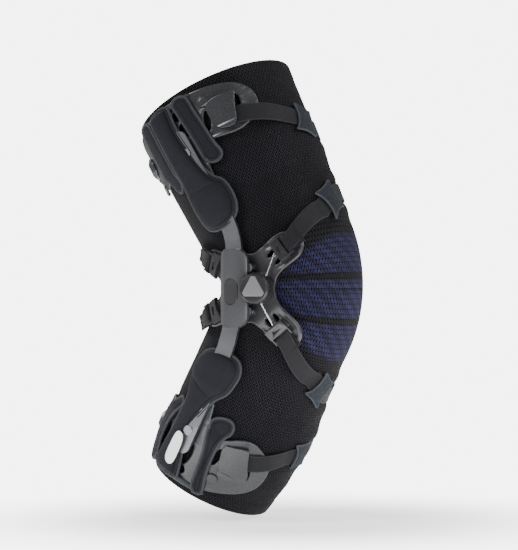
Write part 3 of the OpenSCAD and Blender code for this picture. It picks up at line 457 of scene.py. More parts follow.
silicone = moulded("silicone", (0.022, 0.024, 0.028), 0.42, 0.10, 700, coat=0.3)
gel = moulded("gel", (0.030, 0.042, 0.08), 0.30, 0.04, 300, coat=0.4)
for node in ("hem_grips_thigh", "hem_grips_calf"):
    paint_node(node, silicone)
paint_node("patella_pad", gel)


# ---- Cuffs ----------------------------------------------------------------------------------------
# Two shells of glass-filled plastic, injection moulded and riveted to the side bars: a front wing, a
# rear wing with a forked edge, a neck under the bar, and windows that let the shell flex. A raised
# tongue on each wing holds the strap, and a blank stud closes it.
THIGH_EDGE, CALF_EDGE = TOP - 10, BOTTOM + 10


def rounded(points, rounds=3):
    """A closed outline with its corners cut round."""
    for _ in range(rounds):
        cut = []
        for (x0, y0), (x1, y1) in zip(points, points[1:] + points[:1]):
            cut += [(0.75 * x0 + 0.25 * x1, 0.75 * y0 + 0.25 * y1), (0.25 * x0 + 0.75 * x1, 0.25 * y0 + 0.75 * y1)]
        points = cut
    return points


def oval(x, y, w, h, turn=0.0, steps=28):
    turn = math.radians(turn)
    ring = [(w / 2 * math.cos(t * math.tau / steps), h / 2 * math.sin(t * math.tau / steps)) for t in range(steps)]
    return [(x + a * math.cos(turn) - b * math.sin(turn), y + a * math.sin(turn) + b * math.cos(turn)) for a, b in ring]


def cut_flat(outline, holes=(), thickness=2.0, edge=0.5, cell=3.0):
    """A flat blank cut to an outline in millimetres, with rounded rims. It lies from height 0 to its
    thickness, and is scored into cells so that it can be bent. The layer "edge" holds how far each
    point lies from the rim."""
    curve = bpy.data.curves.new("cut", "CURVE")
    curve.dimensions, curve.fill_mode = "2D", "BOTH"
    curve.extrude, curve.bevel_depth, curve.bevel_resolution = thickness / 2 - edge, edge, 2
    curve.offset = -edge
    for loop in (outline, *holes):
        spline = curve.splines.new("POLY")
        spline.points.add(len(loop) - 1)
        for point, (x, y) in zip(spline.points, loop):
            point.co = (x, y, 0, 1)
        spline.use_cyclic_u = True
    holder = bpy.data.objects.new("cut", curve)
    bpy.context.collection.objects.link(holder)
    mesh = bpy.data.meshes.new_from_object(holder.evaluated_get(bpy.context.evaluated_depsgraph_get()))
    bm = bmesh.new()
    bm.from_mesh(mesh)
    bpy.data.objects.remove(holder)
    bpy.data.curves.remove(curve)
    bpy.data.meshes.remove(mesh)
    bmesh.ops.remove_doubles(bm, verts=bm.verts, dist=0.004)
    for axis in (0, 1):
        low = min(v.co[axis] for v in bm.verts)
        high = max(v.co[axis] for v in bm.verts)
        count = math.ceil((high - low) / cell)
        normal = Vector((axis == 0, axis == 1, 0))
        for k in range(1, count):
            bmesh.ops.bisect_plane(bm, geom=bm.verts[:] + bm.edges[:] + bm.faces[:], dist=1e-4,
                                   plane_co=normal * (low + (high - low) * k / count), plane_no=normal)
    rim = []
    for loop in (outline, *holes):
        for (x0, y0), (x1, y1) in zip(loop, loop[1:] + loop[:1]):
            steps = max(1, round(math.hypot(x1 - x0, y1 - y0) / 0.6))
            rim += [(x0 + (x1 - x0) * k / steps, y0 + (y1 - y0) * k / steps) for k in range(steps)]
    tree = KDTree(len(rim))
    for place, (x, y) in enumerate(rim):
        tree.insert((x, y, 0), place)
    tree.balance()
    layer = bm.verts.layers.float.new("edge")
    for v in bm.verts:
        v[layer] = tree.find((v.co.x, v.co.y, 0))[2]
        v.co.z += thickness / 2
    return bm


def lay_on_leg(bm, edge_s, side, height):
    """Bends a blank round the leg. Its x is q, its y goes from a cuff's edge towards the knee, and
    height(q, d, rim, h) gives how high off the leg a point at height h in the blank comes."""
    rim = bm.verts.layers.float["edge"]
    laid = bm.loops.layers.uv.new("laid")
    for face in bm.faces:
        for loop in face.loops:
            loop[laid].uv = loop.vert.co.xy
    for v in bm.verts:
        q, d, h = v.co
        s = edge_s + side * d
        v.co = on_leg(s, round_leg(s, q), height(q, d, v[rim], h))
    return bm


def own_place(bm):
    """Keeps the blank's flat places as its UV map, for blanks that are bent some other way."""
    laid = bm.loops.layers.uv.new("laid")
    for face in bm.faces:
        for loop in face.loops:
            loop[laid].uv = loop.vert.co.xy


cuff_plastic = moulded("cuff_plastic", (0.022, 0.023, 0.026), 0.27, 0.04, 1600, coat=0.1)
THIGH_CUFF = rounded([
    (-84, 12), (-72, 3), (-58, -2), (-38, -3.5), (-8, -4), (14, -3.5), (30, -2), (44, 0.5), (55, 3.5), (63, 9),
    (68.5, 17),
    (69, 27), (66, 34), (59, 40), (50, 45), (40, 46.5), (30, 45), (20, 43.5), (12, 47), (8, 56), (7, 68), (5, 79),
    (-4, 83), (-14, 79), (-17, 66), (-22, 54), (-32, 47), (-42, 46), (-50, 55), (-54, 54), (-56, 46),
    (-66, 43), (-71, 53),
    (-76, 51),
    (-82, 40), (-88, 30), (-88, 20)], 3)
CALF_CUFF = rounded([
    (-70, 10), (-60, 3), (-44, -1), (-24, -2.5), (4, -2.5), (22, 0), (37, 4.5), (49, 9), (60, 16), (66.5, 25), (69, 36),
    (66.5, 46), (57.5, 55), (47, 61), (37, 60), (26, 53), (17, 50), (9, 55), (6, 66), (4, 78), (-4, 83), (-13, 79),
    (-16, 66), (-22, 56), (-32, 50), (-42, 50), (-48, 58), (-53, 56), (-56, 48), (-64, 42), (-72, 38), (-77, 28),
    (-76, 18)], 3)
THIGH_WINDOWS = [oval(-1.5, 9, 8, 9), oval(0, 24, 9.5, 15, 8), oval(-36, 22, 9, 26, 6), oval(22, 27, 5.5, 19, 14),
                 rounded([(51.3, 14), (54.3, 15), (54, 24), (50.2, 30), (47.5, 29), (49.5, 22)], 2)]
CALF_WINDOWS = [oval(-1, 24, 8.5, 22, -6), oval(-1.5, 8, 8, 7), oval(-36, 24, 10, 28, -6), oval(23, 35, 5.5, 17, -12),
                rounded([(49.5, 25), (53.5, 26), (52, 36), (48, 44), (44.8, 43.4), (48, 34)], 2)]
CUFF_T, CUFF_LIFT = 2.7, 0.9


def cuff(name, outline, windows, edge_s, side, body):
    bm = cut_flat(outline, windows, CUFF_T, 0.7, 3.2)

    def height(q, d, rim, h):
        # the rim is thickened into a bead, and the wings dish a little between it and the neck
        bead = 0.55 * math.exp(-(((rim - 1.4) / 1.1) ** 2))
        return CUFF_LIFT + h + (bead - 0.35 * ease(rim, 2, 12)) * (h > 1)

    lay_on_leg(bm, edge_s, side, height)
    piece = add_piece(name, bm, cuff_plastic, body)
    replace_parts(piece, name)
    return piece


cuff("thigh_cuff", THIGH_CUFF, THIGH_WINDOWS, THIGH_EDGE, -1, "thigh")
cuff("calf_cuff", CALF_CUFF, CALF_WINDOWS, CALF_EDGE, 1, "calf")

TONGUES = {
    "thigh": ([(25, 14), (31, 11.5), (38, 11.2), (45, 12), (51.6, 11.4), (52, 15), (49, 21), (47, 28), (45, 36),
               (42.5, 41),
               (36, 41.5), (27, 37), (25, 28)], (25.2, 9.7), (-84, -62, 13, 36)),
    "calf": ([(24, 48), (33, 50.5), (40, 53), (44.5, 53.5), (46, 47), (48, 38), (51.5, 30), (50, 23.5), (40, 20.5),
              (31, 18.5), (27.5, 22), (26, 34)], (26.2, 14.2), (-74, -54, 14, 36))}
for part, (tongue, stud, rear) in TONGUES.items():
    edge_s, side = (THIGH_EDGE, -1) if part == "thigh" else (CALF_EDGE, 1)
    q0, q1, d0, d1 = rear
    rear_tongue = rounded([(q0, d0), (q1, d0 + 2), (q1 + 2, d1 - 3), (q0, d1)], 3)
    both = cut_flat(rounded(tongue, 2), (), 1.8, 0.6, 1.6)

    def tongue_height(q, d, rim, h, side=side):
        rise = 3.0 * ease(q, 25, 45) + 0.5 * math.exp(-(((q - 46) / 3) ** 2))
        seam = 0.7 * math.exp(-(((d - (35.0 if side < 0 else 26.0) - (q - 25) * 0.05 * -side) / 1.2) ** 2)) * (h > 0.9)
        return 3.2 + rise * (1 - 0.35 * (h < 0.9) * (1 - ease(rim, 0, 2))) + h - seam

    lay_on_leg(both, edge_s, side, tongue_height)
    piece = add_piece(f"{part}_strap_tongue", both, cuff_plastic, part)
    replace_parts(piece, f"{part}_strap_guides")
    bm = cut_flat(rear_tongue, (), 1.8, 0.6, 1.8)
    lay_on_leg(bm, edge_s, side, lambda q, d, rim, h: 3.3 + 2.6 * ease(rim, 0, 6) + h)
    add_piece(f"{part}_rear_tongue", bm, cuff_plastic, part)
    bm = cut_flat(oval(stud[0], stud[1], 9.6, 9.6), (), 1.5, 0.4, 1.2)

    def stud_height(q, d, rim, h):
        return 3.5 + h - 0.5 * math.exp(-(((rim - 1.5) / 0.45) ** 2)) * (h > 0.8)

    lay_on_leg(bm, edge_s, side, stud_height)
    add_piece(f"{part}_stud", bm, cuff_plastic, part)


# ---- Side bars and rivets ---------------------------------------------------------------------------
# Two bars of bead-blasted aluminium, laser cut with a gear at the hinge end and bent to the leg.
# Steel rivets hold each cuff on its bar.
def metal_finish(name, colour, roughness, along=(1, 1, 1), depth=0.02, scale=900):
    metal = Finish(name, Metallic=1.0)
    place = metal.node("Mapping", {}, {"Vector": metal.object_place(), "Scale": along})
    lines = metal.grain(place, scale, 3, 0.6)
    cloud = metal.grain(metal.object_place(), 45, 2)
    dark = tuple(c * 0.86 for c in colour)
    metal.feed(Base_Color=metal.blend(cloud, dark, colour),
               Roughness=(lines - 0.5) * 0.16 + cloud * 0.08 + (roughness - 0.04))
    metal.relief(lines, depth)
    return metal.material


bar_metal = metal_finish("bar_metal", (0.24, 0.245, 0.262), 0.36)
steel = metal_finish("steel", (0.62, 0.63, 0.66), 0.24, (1, 1, 0.2), 0.01)
for node in ("thigh_bar", "calf_bar"):
    paint_node(node, bar_metal)
for node in ("thigh_rivets", "calf_rivets", "hinge_axles", "extension_stops", "dial_spool"):
    paint_node(node, steel)


# ---- Pockets over the bars and cuffs ------------------------------------------------------------------
# Laminated jersey cut with three fingers: a wide one that covers the side bar and ends in a padded
# flap over its lower end, and two narrow ones that clip over the cuff. All are edged with a bound
# piping and sewn to one hem at the cuff's rim.
def jersey_finish():
    jersey = Finish("jersey", Specular_IOR_Level=0.16, Sheen_Weight=0.02, Sheen_Roughness=0.5)
    x, y = jersey.laid_place()
    place = jersey.object_place()
    rim = jersey.measure("edge")
    ribs = ((x / 0.8 + jersey.grain(place, 300, 1) * 0.6) % 1.0 - 0.5).maths("ABSOLUTE") * 2
    loops = ((y / 0.7 + ribs * 0.4) % 1.0 - 0.5).maths("ABSOLUTE") * 2
    fuzz = jersey.grain(place, 900, 3, 0.7)
    cloud = jersey.grain(place, 55, 3)
    binding = 1 - jersey.step(rim, 2.3, 2.9)
    groove = 1 - jersey.step(abs(rim - 3.0), 0.15, 0.7)
    base = jersey.blend(cloud, (0.0040, 0.0042, 0.0062), (0.0085, 0.0090, 0.0125))
    base = jersey.blend(fuzz * 0.4, base, (0.021, 0.023, 0.030))
    base = jersey.blend(binding * 0.75, base, (0.0125, 0.0130, 0.0155))
    base = jersey.blend(groove * 0.7, base, (0.003, 0.003, 0.004))
    jersey.feed(Base_Color=base, Roughness=0.86 - binding * 0.14)
    jersey.relief(ribs * 0.18 + loops * 0.14 + fuzz * 0.2 + binding * 0.45 - groove * 0.5 + cloud * 0.3, 0.5)
    return jersey.material


def piping_finish():
    piping = Finish("binding", Specular_IOR_Level=0.25, Sheen_Weight=0.03)
    place = piping.object_place()
    twill = piping.grain(place, 1500, 2, 0.7)
    piping.feed(Base_Color=piping.blend(twill, (0.016, 0.017, 0.021), (0.042, 0.045, 0.053)),
                Roughness=twill * 0.15 + 0.62)
    piping.relief(twill, 0.25)
    return piping.material


jersey, piping = jersey_finish(), piping_finish()


def cord_round(name, loop, place, radius, finish, body):
    """A round edging along a closed line of flat places, which place() puts in space."""
    curve = bpy.data.curves.new(name, "CURVE")
    curve.dimensions, curve.bevel_depth, curve.bevel_resolution = "3D", radius * MM, 2
    spline = curve.splines.new("POLY")
    spline.points.add(len(loop) - 1)
    for point, (x, y) in zip(spline.points, loop):
        point.co = (*place(x, y), 1)
    spline.use_cyclic_u = True
    holder = bpy.data.objects.new(name, curve)
    bpy.context.collection.objects.link(holder)
    mesh = bpy.data.meshes.new_from_object(holder.evaluated_get(bpy.context.evaluated_depsgraph_get()))
    bm = bmesh.new()
    bm.from_mesh(mesh)
    bpy.data.objects.remove(holder)
    bpy.data.curves.remove(curve)
    bpy.data.meshes.remove(mesh)
    bmesh.ops.remove_doubles(bm, verts=bm.verts, dist=1e-6)
    return add_piece(name, bm, finish, body)


FLAPS = {
    "thigh_bar_pocket": ([(-27, -4), (-26.5, 14), (-25.5, 34), (-24, 54), (-23.5, 70), (-25, 84), (-24, 98), (-21, 110),
                          (-12, 115.5), (0, 116), (10, 112), (14.5, 102), (15, 90), (13, 79), (7, 74), (2.5, 62),
                          (-1.5, 42), (-4.5, 22), (-4, 6), (-3, -4)], 78.5, 0.16),
    "thigh_front_finger": ([(0, -4), (2, 10), (4.5, 28), (6.5, 46), (5.5, 56), (10, 61.5), (18, 62), (22.5, 57),
                            (20, 46),
                            (18, 26), (16, 10), (15, -4)], None, 0),
    "thigh_rear_finger": ([(-43, -4), (-45, 12), (-43.5, 36), (-41.5, 56), (-36, 66.5), (-29, 64), (-27.5, 48),
                           (-29.5, 24), (-30.5, 8), (-31, -4)], None, 0),
    "calf_bar_pocket": ([(-31, -3), (-27.5, 14), (-24, 34), (-22.5, 54), (-22, 70), (-27, 82), (-30, 97), (-27, 110),
                         (-16, 119.5), (0, 123.5), (10, 122), (15, 112), (13.5, 98), (11, 89), (4.5, 81), (1, 70),
                         (-4, 55),
                         (-6.5, 36), (-3, 18), (-1, 6), (0, -3)], 83.0, -0.30),
    "calf_front_finger": ([(13, -4), (12.5, 14), (12.3, 30), (10, 46), (6.5, 60), (11, 67.5), (21, 71), (26.5, 68),
                           (27.5, 60), (22, 52), (20.2, 38), (20.5, 18), (23, 2), (23, -4)], None, 0),
    "calf_rear_finger": ([(-45, -4), (-49, 12), (-50, 30), (-46, 48), (-38, 60), (-31, 64), (-27, 58), (-30, 49),
                          (-35, 38), (-37, 22), (-34, 8), (-33, -4)], None, 0)}
for node, (points, seam, slant) in FLAPS.items():
    body = node.split("_")[0]
    edge_s, side = (THIGH_EDGE, -1) if body == "thigh" else (CALF_EDGE, 1)
    wide = seam is not None
    outline = rounded(points, 2)

    def flap_base(q, d, rim, wide=wide):
        if wide:
            # up over the side bar, and fuller in the padded flap
            return 4.7 + 4.9 * ease(rim, 0.2, 5.0)
        return 1.3 + 2.9 * (1 - ease(d, 47, 58)) + 0.5 * ease(rim, 0, 3)

    def flap_height(q, d, rim, h, wide=wide, seam=seam, slant=slant, base=flap_base):
        off = base(q, d, rim) + h
        if h > 1:
            if wide:
                stitched = math.exp(-(((d - seam - slant * (q + 6)) / 1.1) ** 2)) * ease(rim, 1, 4)
                padded = ease(d, seam, seam + 10) * ease(rim, 2, 11)
                off += 0.6 * ease(rim, 2.5, 9) + 1.1 * padded - 0.8 * stitched
            off += 0.22 * lumps(Vector((q / 9, d / 11, 1.7)))
            off -= 0.35 * math.exp(-(((rim - 3.0) / 0.7) ** 2))
        return off

    bm = lay_on_leg(cut_flat(outline, (), 2.0, 0.8, 1.7), edge_s, side, flap_height)
    piece = add_piece(node, bm, jersey, body)
    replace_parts(piece, node)

    def rim_place(q, d, edge_s=edge_s, side=side, base=flap_base):
        s = edge_s + side * d
        return on_leg(s, round_leg(s, q), base(q, d, 0) + 1.5)

    cord_round(f"{node}_piping", outline, rim_place, 1.25, piping, body)
for part, edge_s, side, reach in (("thigh", THIGH_EDGE, -1, (-46, 18)), ("calf", CALF_EDGE, 1, (-48, 25))):
    outline = rounded([(reach[0], -5.2), (reach[1], -5.2), (reach[1], 1.2), (reach[0], 1.2)], 2)
    bm = lay_on_leg(cut_flat(outline, (), 2.6, 1.1, 2.0), edge_s, side,
                    lambda q, d, rim, h: 3.2 - 2.6 * (1 - ease(d, -5.0, -2.0)) + h + 0.6 * ease(rim, 0, 2))
    piece = add_piece(f"{part}_finger_hem", bm, piping, part)
    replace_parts(piece, f"{part}_finger_hem")

# A blank woven label on the calf's pocket
label = Finish("label", Sheen_Weight=0.1)
threads = label.grain(label.object_place(), 1800, 2)
label.feed(Base_Color=label.blend(threads, (0.70, 0.71, 0.72), (0.90, 0.90, 0.90)), Roughness=threads * 0.2 + 0.45)
label.relief(threads, 0.12)
LABEL = rounded([(-14, 9), (-5, 8), (-3.5, 24), (-4.5, 40), (-12.5, 41), (-14, 24)], 3)
bm = cut_flat(LABEL, (), 0.7, 0.25, 1.5)
lay_on_leg(bm, CALF_EDGE, 1, lambda q, d, rim, h: 12.3 + h)
piece = add_piece("size_label", bm, label.material, "calf")
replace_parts(piece, "size_label")


# ---- Straps ----------------------------------------------------------------------------------------------
# Black polyester webbing. One strap runs round each cuff and under its tongues, and two cross the
# back of the leg beside the knee. Felt tabs hold their free ends.
def webbing_finish():
    """The UV map's x runs along the strap and its y from -1 to 1 across it."""
    web = Finish("webbing", Specular_IOR_Level=0.2, Sheen_Weight=0.02, Sheen_Roughness=0.4)
    x, y = web.laid_place()
    place = web.object_place()
    cords = (y * 7.0 % 1.0 - 0.5).maths("ABSOLUTE") * 2
    picks = ((x / 1.1 + cords * 0.5) % 1.0 - 0.5).maths("ABSOLUTE") * 2
    fuzz = web.grain(place, 1300, 2, 0.7)
    selvedge = web.step(abs(y), 0.86, 0.93)
    weave = web.blend(picks * 0.55 + fuzz * 0.45, (0.0030, 0.0030, 0.0040), (0.0115, 0.0115, 0.0145))
    web.feed(Base_Color=web.blend(selvedge * 0.55, weave, (0.030, 0.031, 0.037)), Roughness=fuzz * 0.2 + 0.56)
    web.relief(picks * 0.6 + cords * 0.3 + selvedge * 0.4, 0.32)
    return web.material


webbing = webbing_finish()


def soft_lookup(x, table, reach=7):
    return sum(lookup(x + reach * k / 3, table) for k in range(-3, 4)) / 7


def strap_place(route, d, across, off):
    """The point at angle d on a strap's route, across millimetres off its middle."""
    slope = math.atan2(soft_lookup(d + 2, route) - soft_lookup(d - 2, route), 4 * 1.1)
    return on_leg(soft_lookup(d, route) + across * math.cos(slope),
                  math.radians(d - across * math.sin(slope) / 1.1), off)


def ribbon(name, count, thickness, place, body=None):
    """A band of webbing whose middle place(u, v) gives, with u along it and v across it."""
    bm = bmesh.new()
    bmesh.ops.create_grid(bm, x_segments=count, y_segments=6, size=0.5)
    laid = bm.loops.layers.uv.new("laid")
    length = sum((place((k + 1) / 40, 0) - place(k / 40, 0)).length for k in range(40)) / MM
    for face in bm.faces:
        for loop in face.loops:
            loop[laid].uv = ((loop.vert.co.x + 0.5) * length, loop.vert.co.y * 2)
    for v in bm.verts:
        v.co = place(v.co.x + 0.5, v.co.y * 2)
    piece = add_piece(name, bm, webbing, body)
    wall = piece.modifiers.new("wall", "SOLIDIFY")
    wall.thickness, wall.offset, wall.use_even_offset = thickness * MM, 0, True
    soft = piece.modifiers.new("rim", "BEVEL")
    soft.width, soft.segments, soft.limit_method, soft.angle_limit = 0.35 * MM, 2, "ANGLE", math.radians(50)
    return piece


def leg_ribbon(name, route, lifts, width, body=None, ends=None):
    """A strap on a route round the leg, between its ends in degrees."""
    first, last = ends or (route[0][0], route[-1][0])

    def place(u, v):
        d = first + (last - first) * u
        return strap_place(route, d, v * width / 2, lookup(d, lifts))

    return ribbon(name, 150, 1.5, place, body)


THIGH_LIFTS = [(30, 4.6), (44, 5.2), (56, 4.2), (72, 1.4), (262, 1.4), (280, 4.6), (300, 5.0)]
CALF_LIFTS = [(34, 4.8), (50, 5.2), (62, 4.2), (76, 1.4), (262, 1.4), (280, 4.6), (300, 5.0)]
for part, route, lifts in (("thigh", THIGH_STRAP, THIGH_LIFTS), ("calf", CALF_STRAP, CALF_LIFTS)):
    piece = leg_ribbon(f"{part}_strap", route, lifts, 15.5, body=part)
    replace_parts(piece, f"{part}_strap")
KNEE_STRAP_W = 16
for side, route, name in ((1, UPPER_STRAP, "knee_strap_upper"), (-1, LOWER_STRAP, "knee_strap_lower")):
    piece = leg_ribbon(name, route, [(0, 1.3)], KNEE_STRAP_W, ends=(69, 286))
    bend_with_knee(piece, side > 0)
    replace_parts(piece, name)


def felt_finish():
    felt = Finish("felt", Specular_IOR_Level=0.15, Sheen_Weight=0.05, Sheen_Roughness=0.4)
    place = felt.object_place()
    fibres = felt.grain(place, 1100, 4, 0.75)
    tufts = felt.grain(place, 260, 3, 0.6)
    rim = felt.measure("edge")
    # the felt is made lighter along its cut rim, with a ragged inner edge
    lighter_rim = 1 - felt.step(rim + tufts * 1.2, 0.8, 2.2)
    base = felt.blend(fibres * 0.5 + tufts * 0.5, (0.0065, 0.0085, 0.0115), (0.026, 0.031, 0.039))
    felt.feed(Base_Color=felt.blend(lighter_rim * 0.7, base, (0.065, 0.073, 0.085)), Roughness=0.95 - fibres * 0.1)
    felt.relief(fibres * 0.7 + tufts * 0.5, 0.7)
    return felt.material


felt = felt_finish()
# An hourglass tab: x along the strap and y across it
TAB = rounded([(-12.5, 14), (-9, 8.5), (-7.8, 0), (-9, -8.5), (-12.5, -14), (-3, -12.2), (4, -12.4), (11.5, -14.5),
               (8.5, -7),
               (7.8, 0), (8.5, 7), (11.5, 14.5), (4, 12.4), (-3, 12.2)], 2)


def strap_tab(name, route, middle, off, scale, body=None):
    bm = cut_flat([(x * scale, y * scale) for x, y in TAB], (), 1.9, 0.7, 1.6)
    own_place(bm)
    for v in bm.verts:
        x, y, h = v.co
        ruffle = 0.35 * lumps(Vector((x / 4, y / 4, off))) * (h > 0.9)
        v.co = strap_place(route, middle + x / 1.1, y, off + h + ruffle)
    piece = add_piece(name, bm, felt, body)
    return piece


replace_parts(strap_tab("thigh_strap_tab", THIGH_STRAP, 92, 2.3, 1.0, "thigh"), "thigh_strap_tab")
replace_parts(strap_tab("calf_strap_tab", CALF_STRAP, 92, 2.3, 0.92, "calf"), "calf_strap_tab")
upper_tab = strap_tab("knee_tab_upper", UPPER_STRAP, 84, 2.2, 1.0)
lower_tab = strap_tab("knee_tab_lower", LOWER_STRAP, 84, 2.2, 1.0)
bend_with_knee(upper_tab, True)
bend_with_knee(lower_tab, False)
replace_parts(upper_tab, "knee_strap_tabs")


# ---- Hinge plates, cover and badge ------------------------------------------------------------------
# The two bars' gears turn between two plates on steel axles, with slip washers. A satin injection
# moulded cover is pressed over them, with a blank inlaid badge.
def softened(node, finish, body, width=0.4, segments=3):
    """A copy of a CAD node with its sharp edges rounded, which stands in for it."""
    bm = bmesh.new()
    bm.from_mesh(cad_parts[node].data)
    bmesh.ops.remove_doubles(bm, verts=bm.verts, dist=1e-5)
    bmesh.ops.dissolve_limit(bm, angle_limit=math.radians(0.5), verts=bm.verts, edges=bm.edges)
    piece = add_piece(node, bm, finish, body)
    rounding = piece.modifiers.new("rim", "BEVEL")
    rounding.width, rounding.segments = width * MM, segments
    rounding.limit_method, rounding.angle_limit = "ANGLE", math.radians(32)
    rounding.use_clamp_overlap = True
    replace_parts(piece, node)
    return piece


hinge_paint = moulded("hinge_paint", (0.085, 0.086, 0.092), 0.30, 0.008, 1500, coat=0.3, metallic=0.55, speckle=0.04)
# painted shade: the badge, which is the cover's grey, is coloured much darker to stand in for the shaded groove round
# it
badge_groove_shade = moulded("badge_groove_shade", (0.022, 0.022, 0.024), 0.22, 0.02, 1800, coat=0.6)
washer = moulded("washer", (0.30, 0.28, 0.24), 0.38, 0.02, 900)
softened("hinge_cover", hinge_paint, "hub", 2.2, 6)
softened("cover_badge", badge_groove_shade, "hub", 0.3, 3)
paint_node("hinge_inner_plate", bar_metal)
paint_node("hinge_outer_plate", bar_metal)
paint_node("hinge_washers", washer)

# ---- Tension plate, sliders and buckles -----------------------------------------------------------
# A stiff moulded plate behind the hinge, with four arms. On each front arm a slider with a strap bar
# is pulled towards the dial, and the rear arms end in fixed buckles.
tech_plastic = moulded("tech_plastic", (0.020, 0.020, 0.023), 0.34, 0.05, 1500)
dark_plastic = moulded("dark_plastic", (0.013, 0.013, 0.015), 0.28, 0.03, 1700, coat=0.15)
# The plate is cut as one smooth X, with a window each side of each cable, and its front paddles have
# a low lip that guides the slider.
PLATE_HALF = [(7, 30), (13, 29.5), (19, 33), (24, 38), (30, 45), (38, 49.5), (47, 49), (54, 44), (57.5, 36), (55, 28),
              (49, 22), (42, 16.5), (37, 10), (35, 3)]
PLATE_LOWER = [(35, -3), (37, -10), (42, -17), (49, -24), (54.5, -31), (56, -39), (51.5, -47.5), (44, -51), (36, -50),
               (29, -45), (23, -38), (18, -33), (13, -29.5), (7, -30), (-6, -30), (-16, -29), (-26, -33), (-35, -34),
               (-40, -27), (-36, -17), (-27, -12), (-20, -6), (-20, 6), (-27, 12), (-36, 17), (-40, 27), (-35, 34),
               (-26, 33), (-16, 29), (-6, 30)]
PLATE_WINDOWS = [oval(30.5, 30.0, 4.2, 9.5, -42), oval(37.5, 24.0, 4.0, 8.5, -42), oval(29.0, -29.5, 4.2, 9.5, 52),
                 oval(35.5, -25.0, 4.0, 8.0, 40)]
ARMS = [((27, 24), 50, 21, 1), ((27, -24), 142, 21, 1), ((-14, 13), -60, 16, 0), ((-14, -13), -120, 16, 0)]
bm = cut_flat(rounded(PLATE_HALF + PLATE_LOWER, 3), PLATE_WINDOWS, 2.4, 0.9, 2.2)
own_place(bm)
rim = bm.verts.layers.float["edge"]
for v in bm.verts:
    y, z, h = v.co
    x = 60.2 + h
    for (root_y, root_z), heading, dip, front in ARMS:
        reach = (y - root_y) * math.sin(math.radians(heading)) + (z - root_z) * math.cos(math.radians(heading))
        if (z > 0) == (root_z > 0) and (y > 0) == (front > 0):
            fall = math.log1p(math.exp(reach / 1.5)) * 1.5 if reach < 60 else reach
            x -= math.tan(math.radians(dip)) * fall
            if h > 1 and front:
                x += 1.3 * ease(reach, 3, 9) * math.exp(-(((v[rim] - 1.3) / 1.1) ** 2))
    v.co = Vector((x, y, z)) * MM
plate = add_piece("tension_plate", bm, tech_plastic, "hub")
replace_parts(plate, "tension_plate")
softened("rear_buckles", tech_plastic, "hub", 0.35, 3)
softened("slider_upper", dark_plastic, "upper_slide", 0.3, 2)
softened("slider_lower", dark_plastic, "lower_slide", 0.3, 2)

# ---- Strap ends --------------------------------------------------------------------------------------
# Each end of the knee straps is folded back round a bar. The front ends ride on their sliders, and
# the rear ones stay with the hinge.
PLATE_X = 62.6
STRAP_END_RUN = 30


def turned(axis, degrees):
    return Matrix.Rotation(math.radians(degrees), 4, axis)


def arm_point(front, up, p):
    """A point on one of the plate's arms: p is out from the plate, across the arm and along it."""
    plan = 60 if front < 0 else (50 if up > 0 else 38)
    root, dip, roll = ((27, 24), 21, 7) if front > 0 else ((-14, 13), 16, 18)
    place = turned("X", -front * plan) @ turned("Y", -dip) @ turned("Z", front * roll) @ Vector(p)
    x, y, z = PLATE_X + place.x, root[0] + place.y, root[1] + place.z
    return Vector((x, y, up * z)) * MM


def strap_end(name, front, up, phi, s, turn, body):
    """A webbing end: under layer, round the bar, and out on to the leg, as one folded band."""
    pin_x, pin_z, fold, half = 3.9, 22.6, 1.75, 7.4
    turn = math.radians(turn)

    def place(u, v):
        k = v
        length = u * 50 - 15
        if length < 0:
            path = (pin_x - fold, pin_z - length)
            return arm_point(front, up, (path[0], -front * k * half, path[1]))
        if length < 5:
            around = math.pi + length / 5 * math.pi
            return arm_point(front, up, (pin_x + fold * math.cos(around), -front * k * half,
                                         pin_z + fold * math.sin(around)))
        w = (length - 5) / 30
        flat = arm_point(front, up, (pin_x + fold, -front * k * half, pin_z + w * STRAP_END_RUN))
        laid = on_leg(s + up * k * 8 * math.cos(turn),
                      math.radians(phi - front * (1 - w) * 28 - front * k * 8 * math.sin(turn) * 0.9), 1.5)
        share = w * w * (3 - 2 * w)
        return flat * (1 - share) + laid * share

    piece = ribbon(name, 60, 1.3, place, body)
    return piece


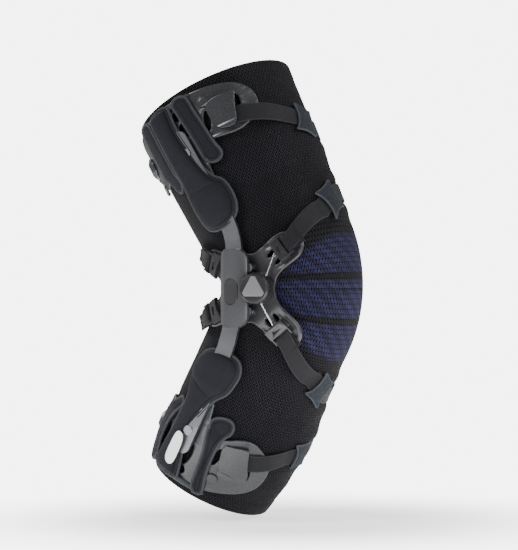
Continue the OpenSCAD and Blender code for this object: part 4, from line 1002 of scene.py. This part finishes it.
end_upper = strap_end("strap_end_upper", 1, 1, 70, 41, 20, None)
end_lower = strap_end("strap_end_lower", 1, -1, 70, -54, 35, None)
for piece, end in ((end_upper, "upper"), (end_lower, "lower")):
    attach(piece, f"{end}_slide")
    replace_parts(piece, f"strap_end_{end}")
rear_upper = strap_end("rear_strap_end_upper", -1, 1, 284 - 360, 56, 20, "hub")
strap_end("rear_strap_end_lower", -1, -1, 284 - 360, -60, 20, "hub")
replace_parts(rear_upper, "rear_strap_ends")

# ---- Dial and cables -----------------------------------------------------------------------------------
# A dial that winds two stainless cables: a moulded base, a dark knob and a blank three-sided cap
# with cut corners.
knob_rubber = moulded("knob_rubber", (0.009, 0.009, 0.010), 0.40, 0.06, 1300)
cable_steel = metal_finish("cable_steel", (0.72, 0.73, 0.75), 0.22, (1, 1, 1), 0.03, 2400)
softened("dial_base", dark_plastic, "hub", 0.3, 3)
softened("dial_knob", knob_rubber, "knob", 0.25, 2)
softened("dial_core", dark_plastic, "spool", 0.2, 2)
for node in ("cable_upper", "cable_lower"):
    paint_node(node, cable_steel)

# The cap is satin grey, with fine brushed lines
cap = Finish("cap", Metallic=0.0, Coat_Weight=0.2, Coat_Roughness=0.2)
place = cap.object_place()
brushed = cap.grain(cap.node("Mapping", {}, {"Vector": place, "Scale": (1, 1, 14)}), 260, 3)
cap.feed(Base_Color=cap.blend(brushed, (0.10, 0.10, 0.105), (0.16, 0.16, 0.165)), Roughness=brushed * 0.2 + 0.28)
cap.relief(brushed, 0.02)
softened("dial_cap", cap.material, "knob", 0.35, 3)

# The floor fades into the white room round it
pale = Finish("floor", Roughness=0.55)
away = pale.node("VectorMath", {"operation": "LENGTH"}, {0: pale.node("VectorMath", {"operation": "MULTIPLY"},
                 {0: pale.object_place(), 1: (1, 1, 0)})}, out="Value")
glow = pale.tree.nodes.new("ShaderNodeEmission")
glow.inputs["Strength"].default_value = 6.0
mixed = pale.tree.nodes.new("ShaderNodeMixShader")
dust = pale.grain(pale.object_place(), 60, 3)
pale.feed(Base_Color=pale.blend(dust, (0.90, 0.90, 0.90), (0.94, 0.94, 0.94)))
pale.tree.links.new(pale.step(away, 0.09, 0.36, 0.22, 1.0).socket, mixed.inputs[0])
pale.tree.links.new(pale.shader.outputs[0], mixed.inputs[1])
pale.tree.links.new(glow.outputs[0], mixed.inputs[2])
pale.tree.links.new(mixed.outputs[0], pale.tree.nodes["Material Output"].inputs["Surface"])
floor.data.materials.append(pale.material)
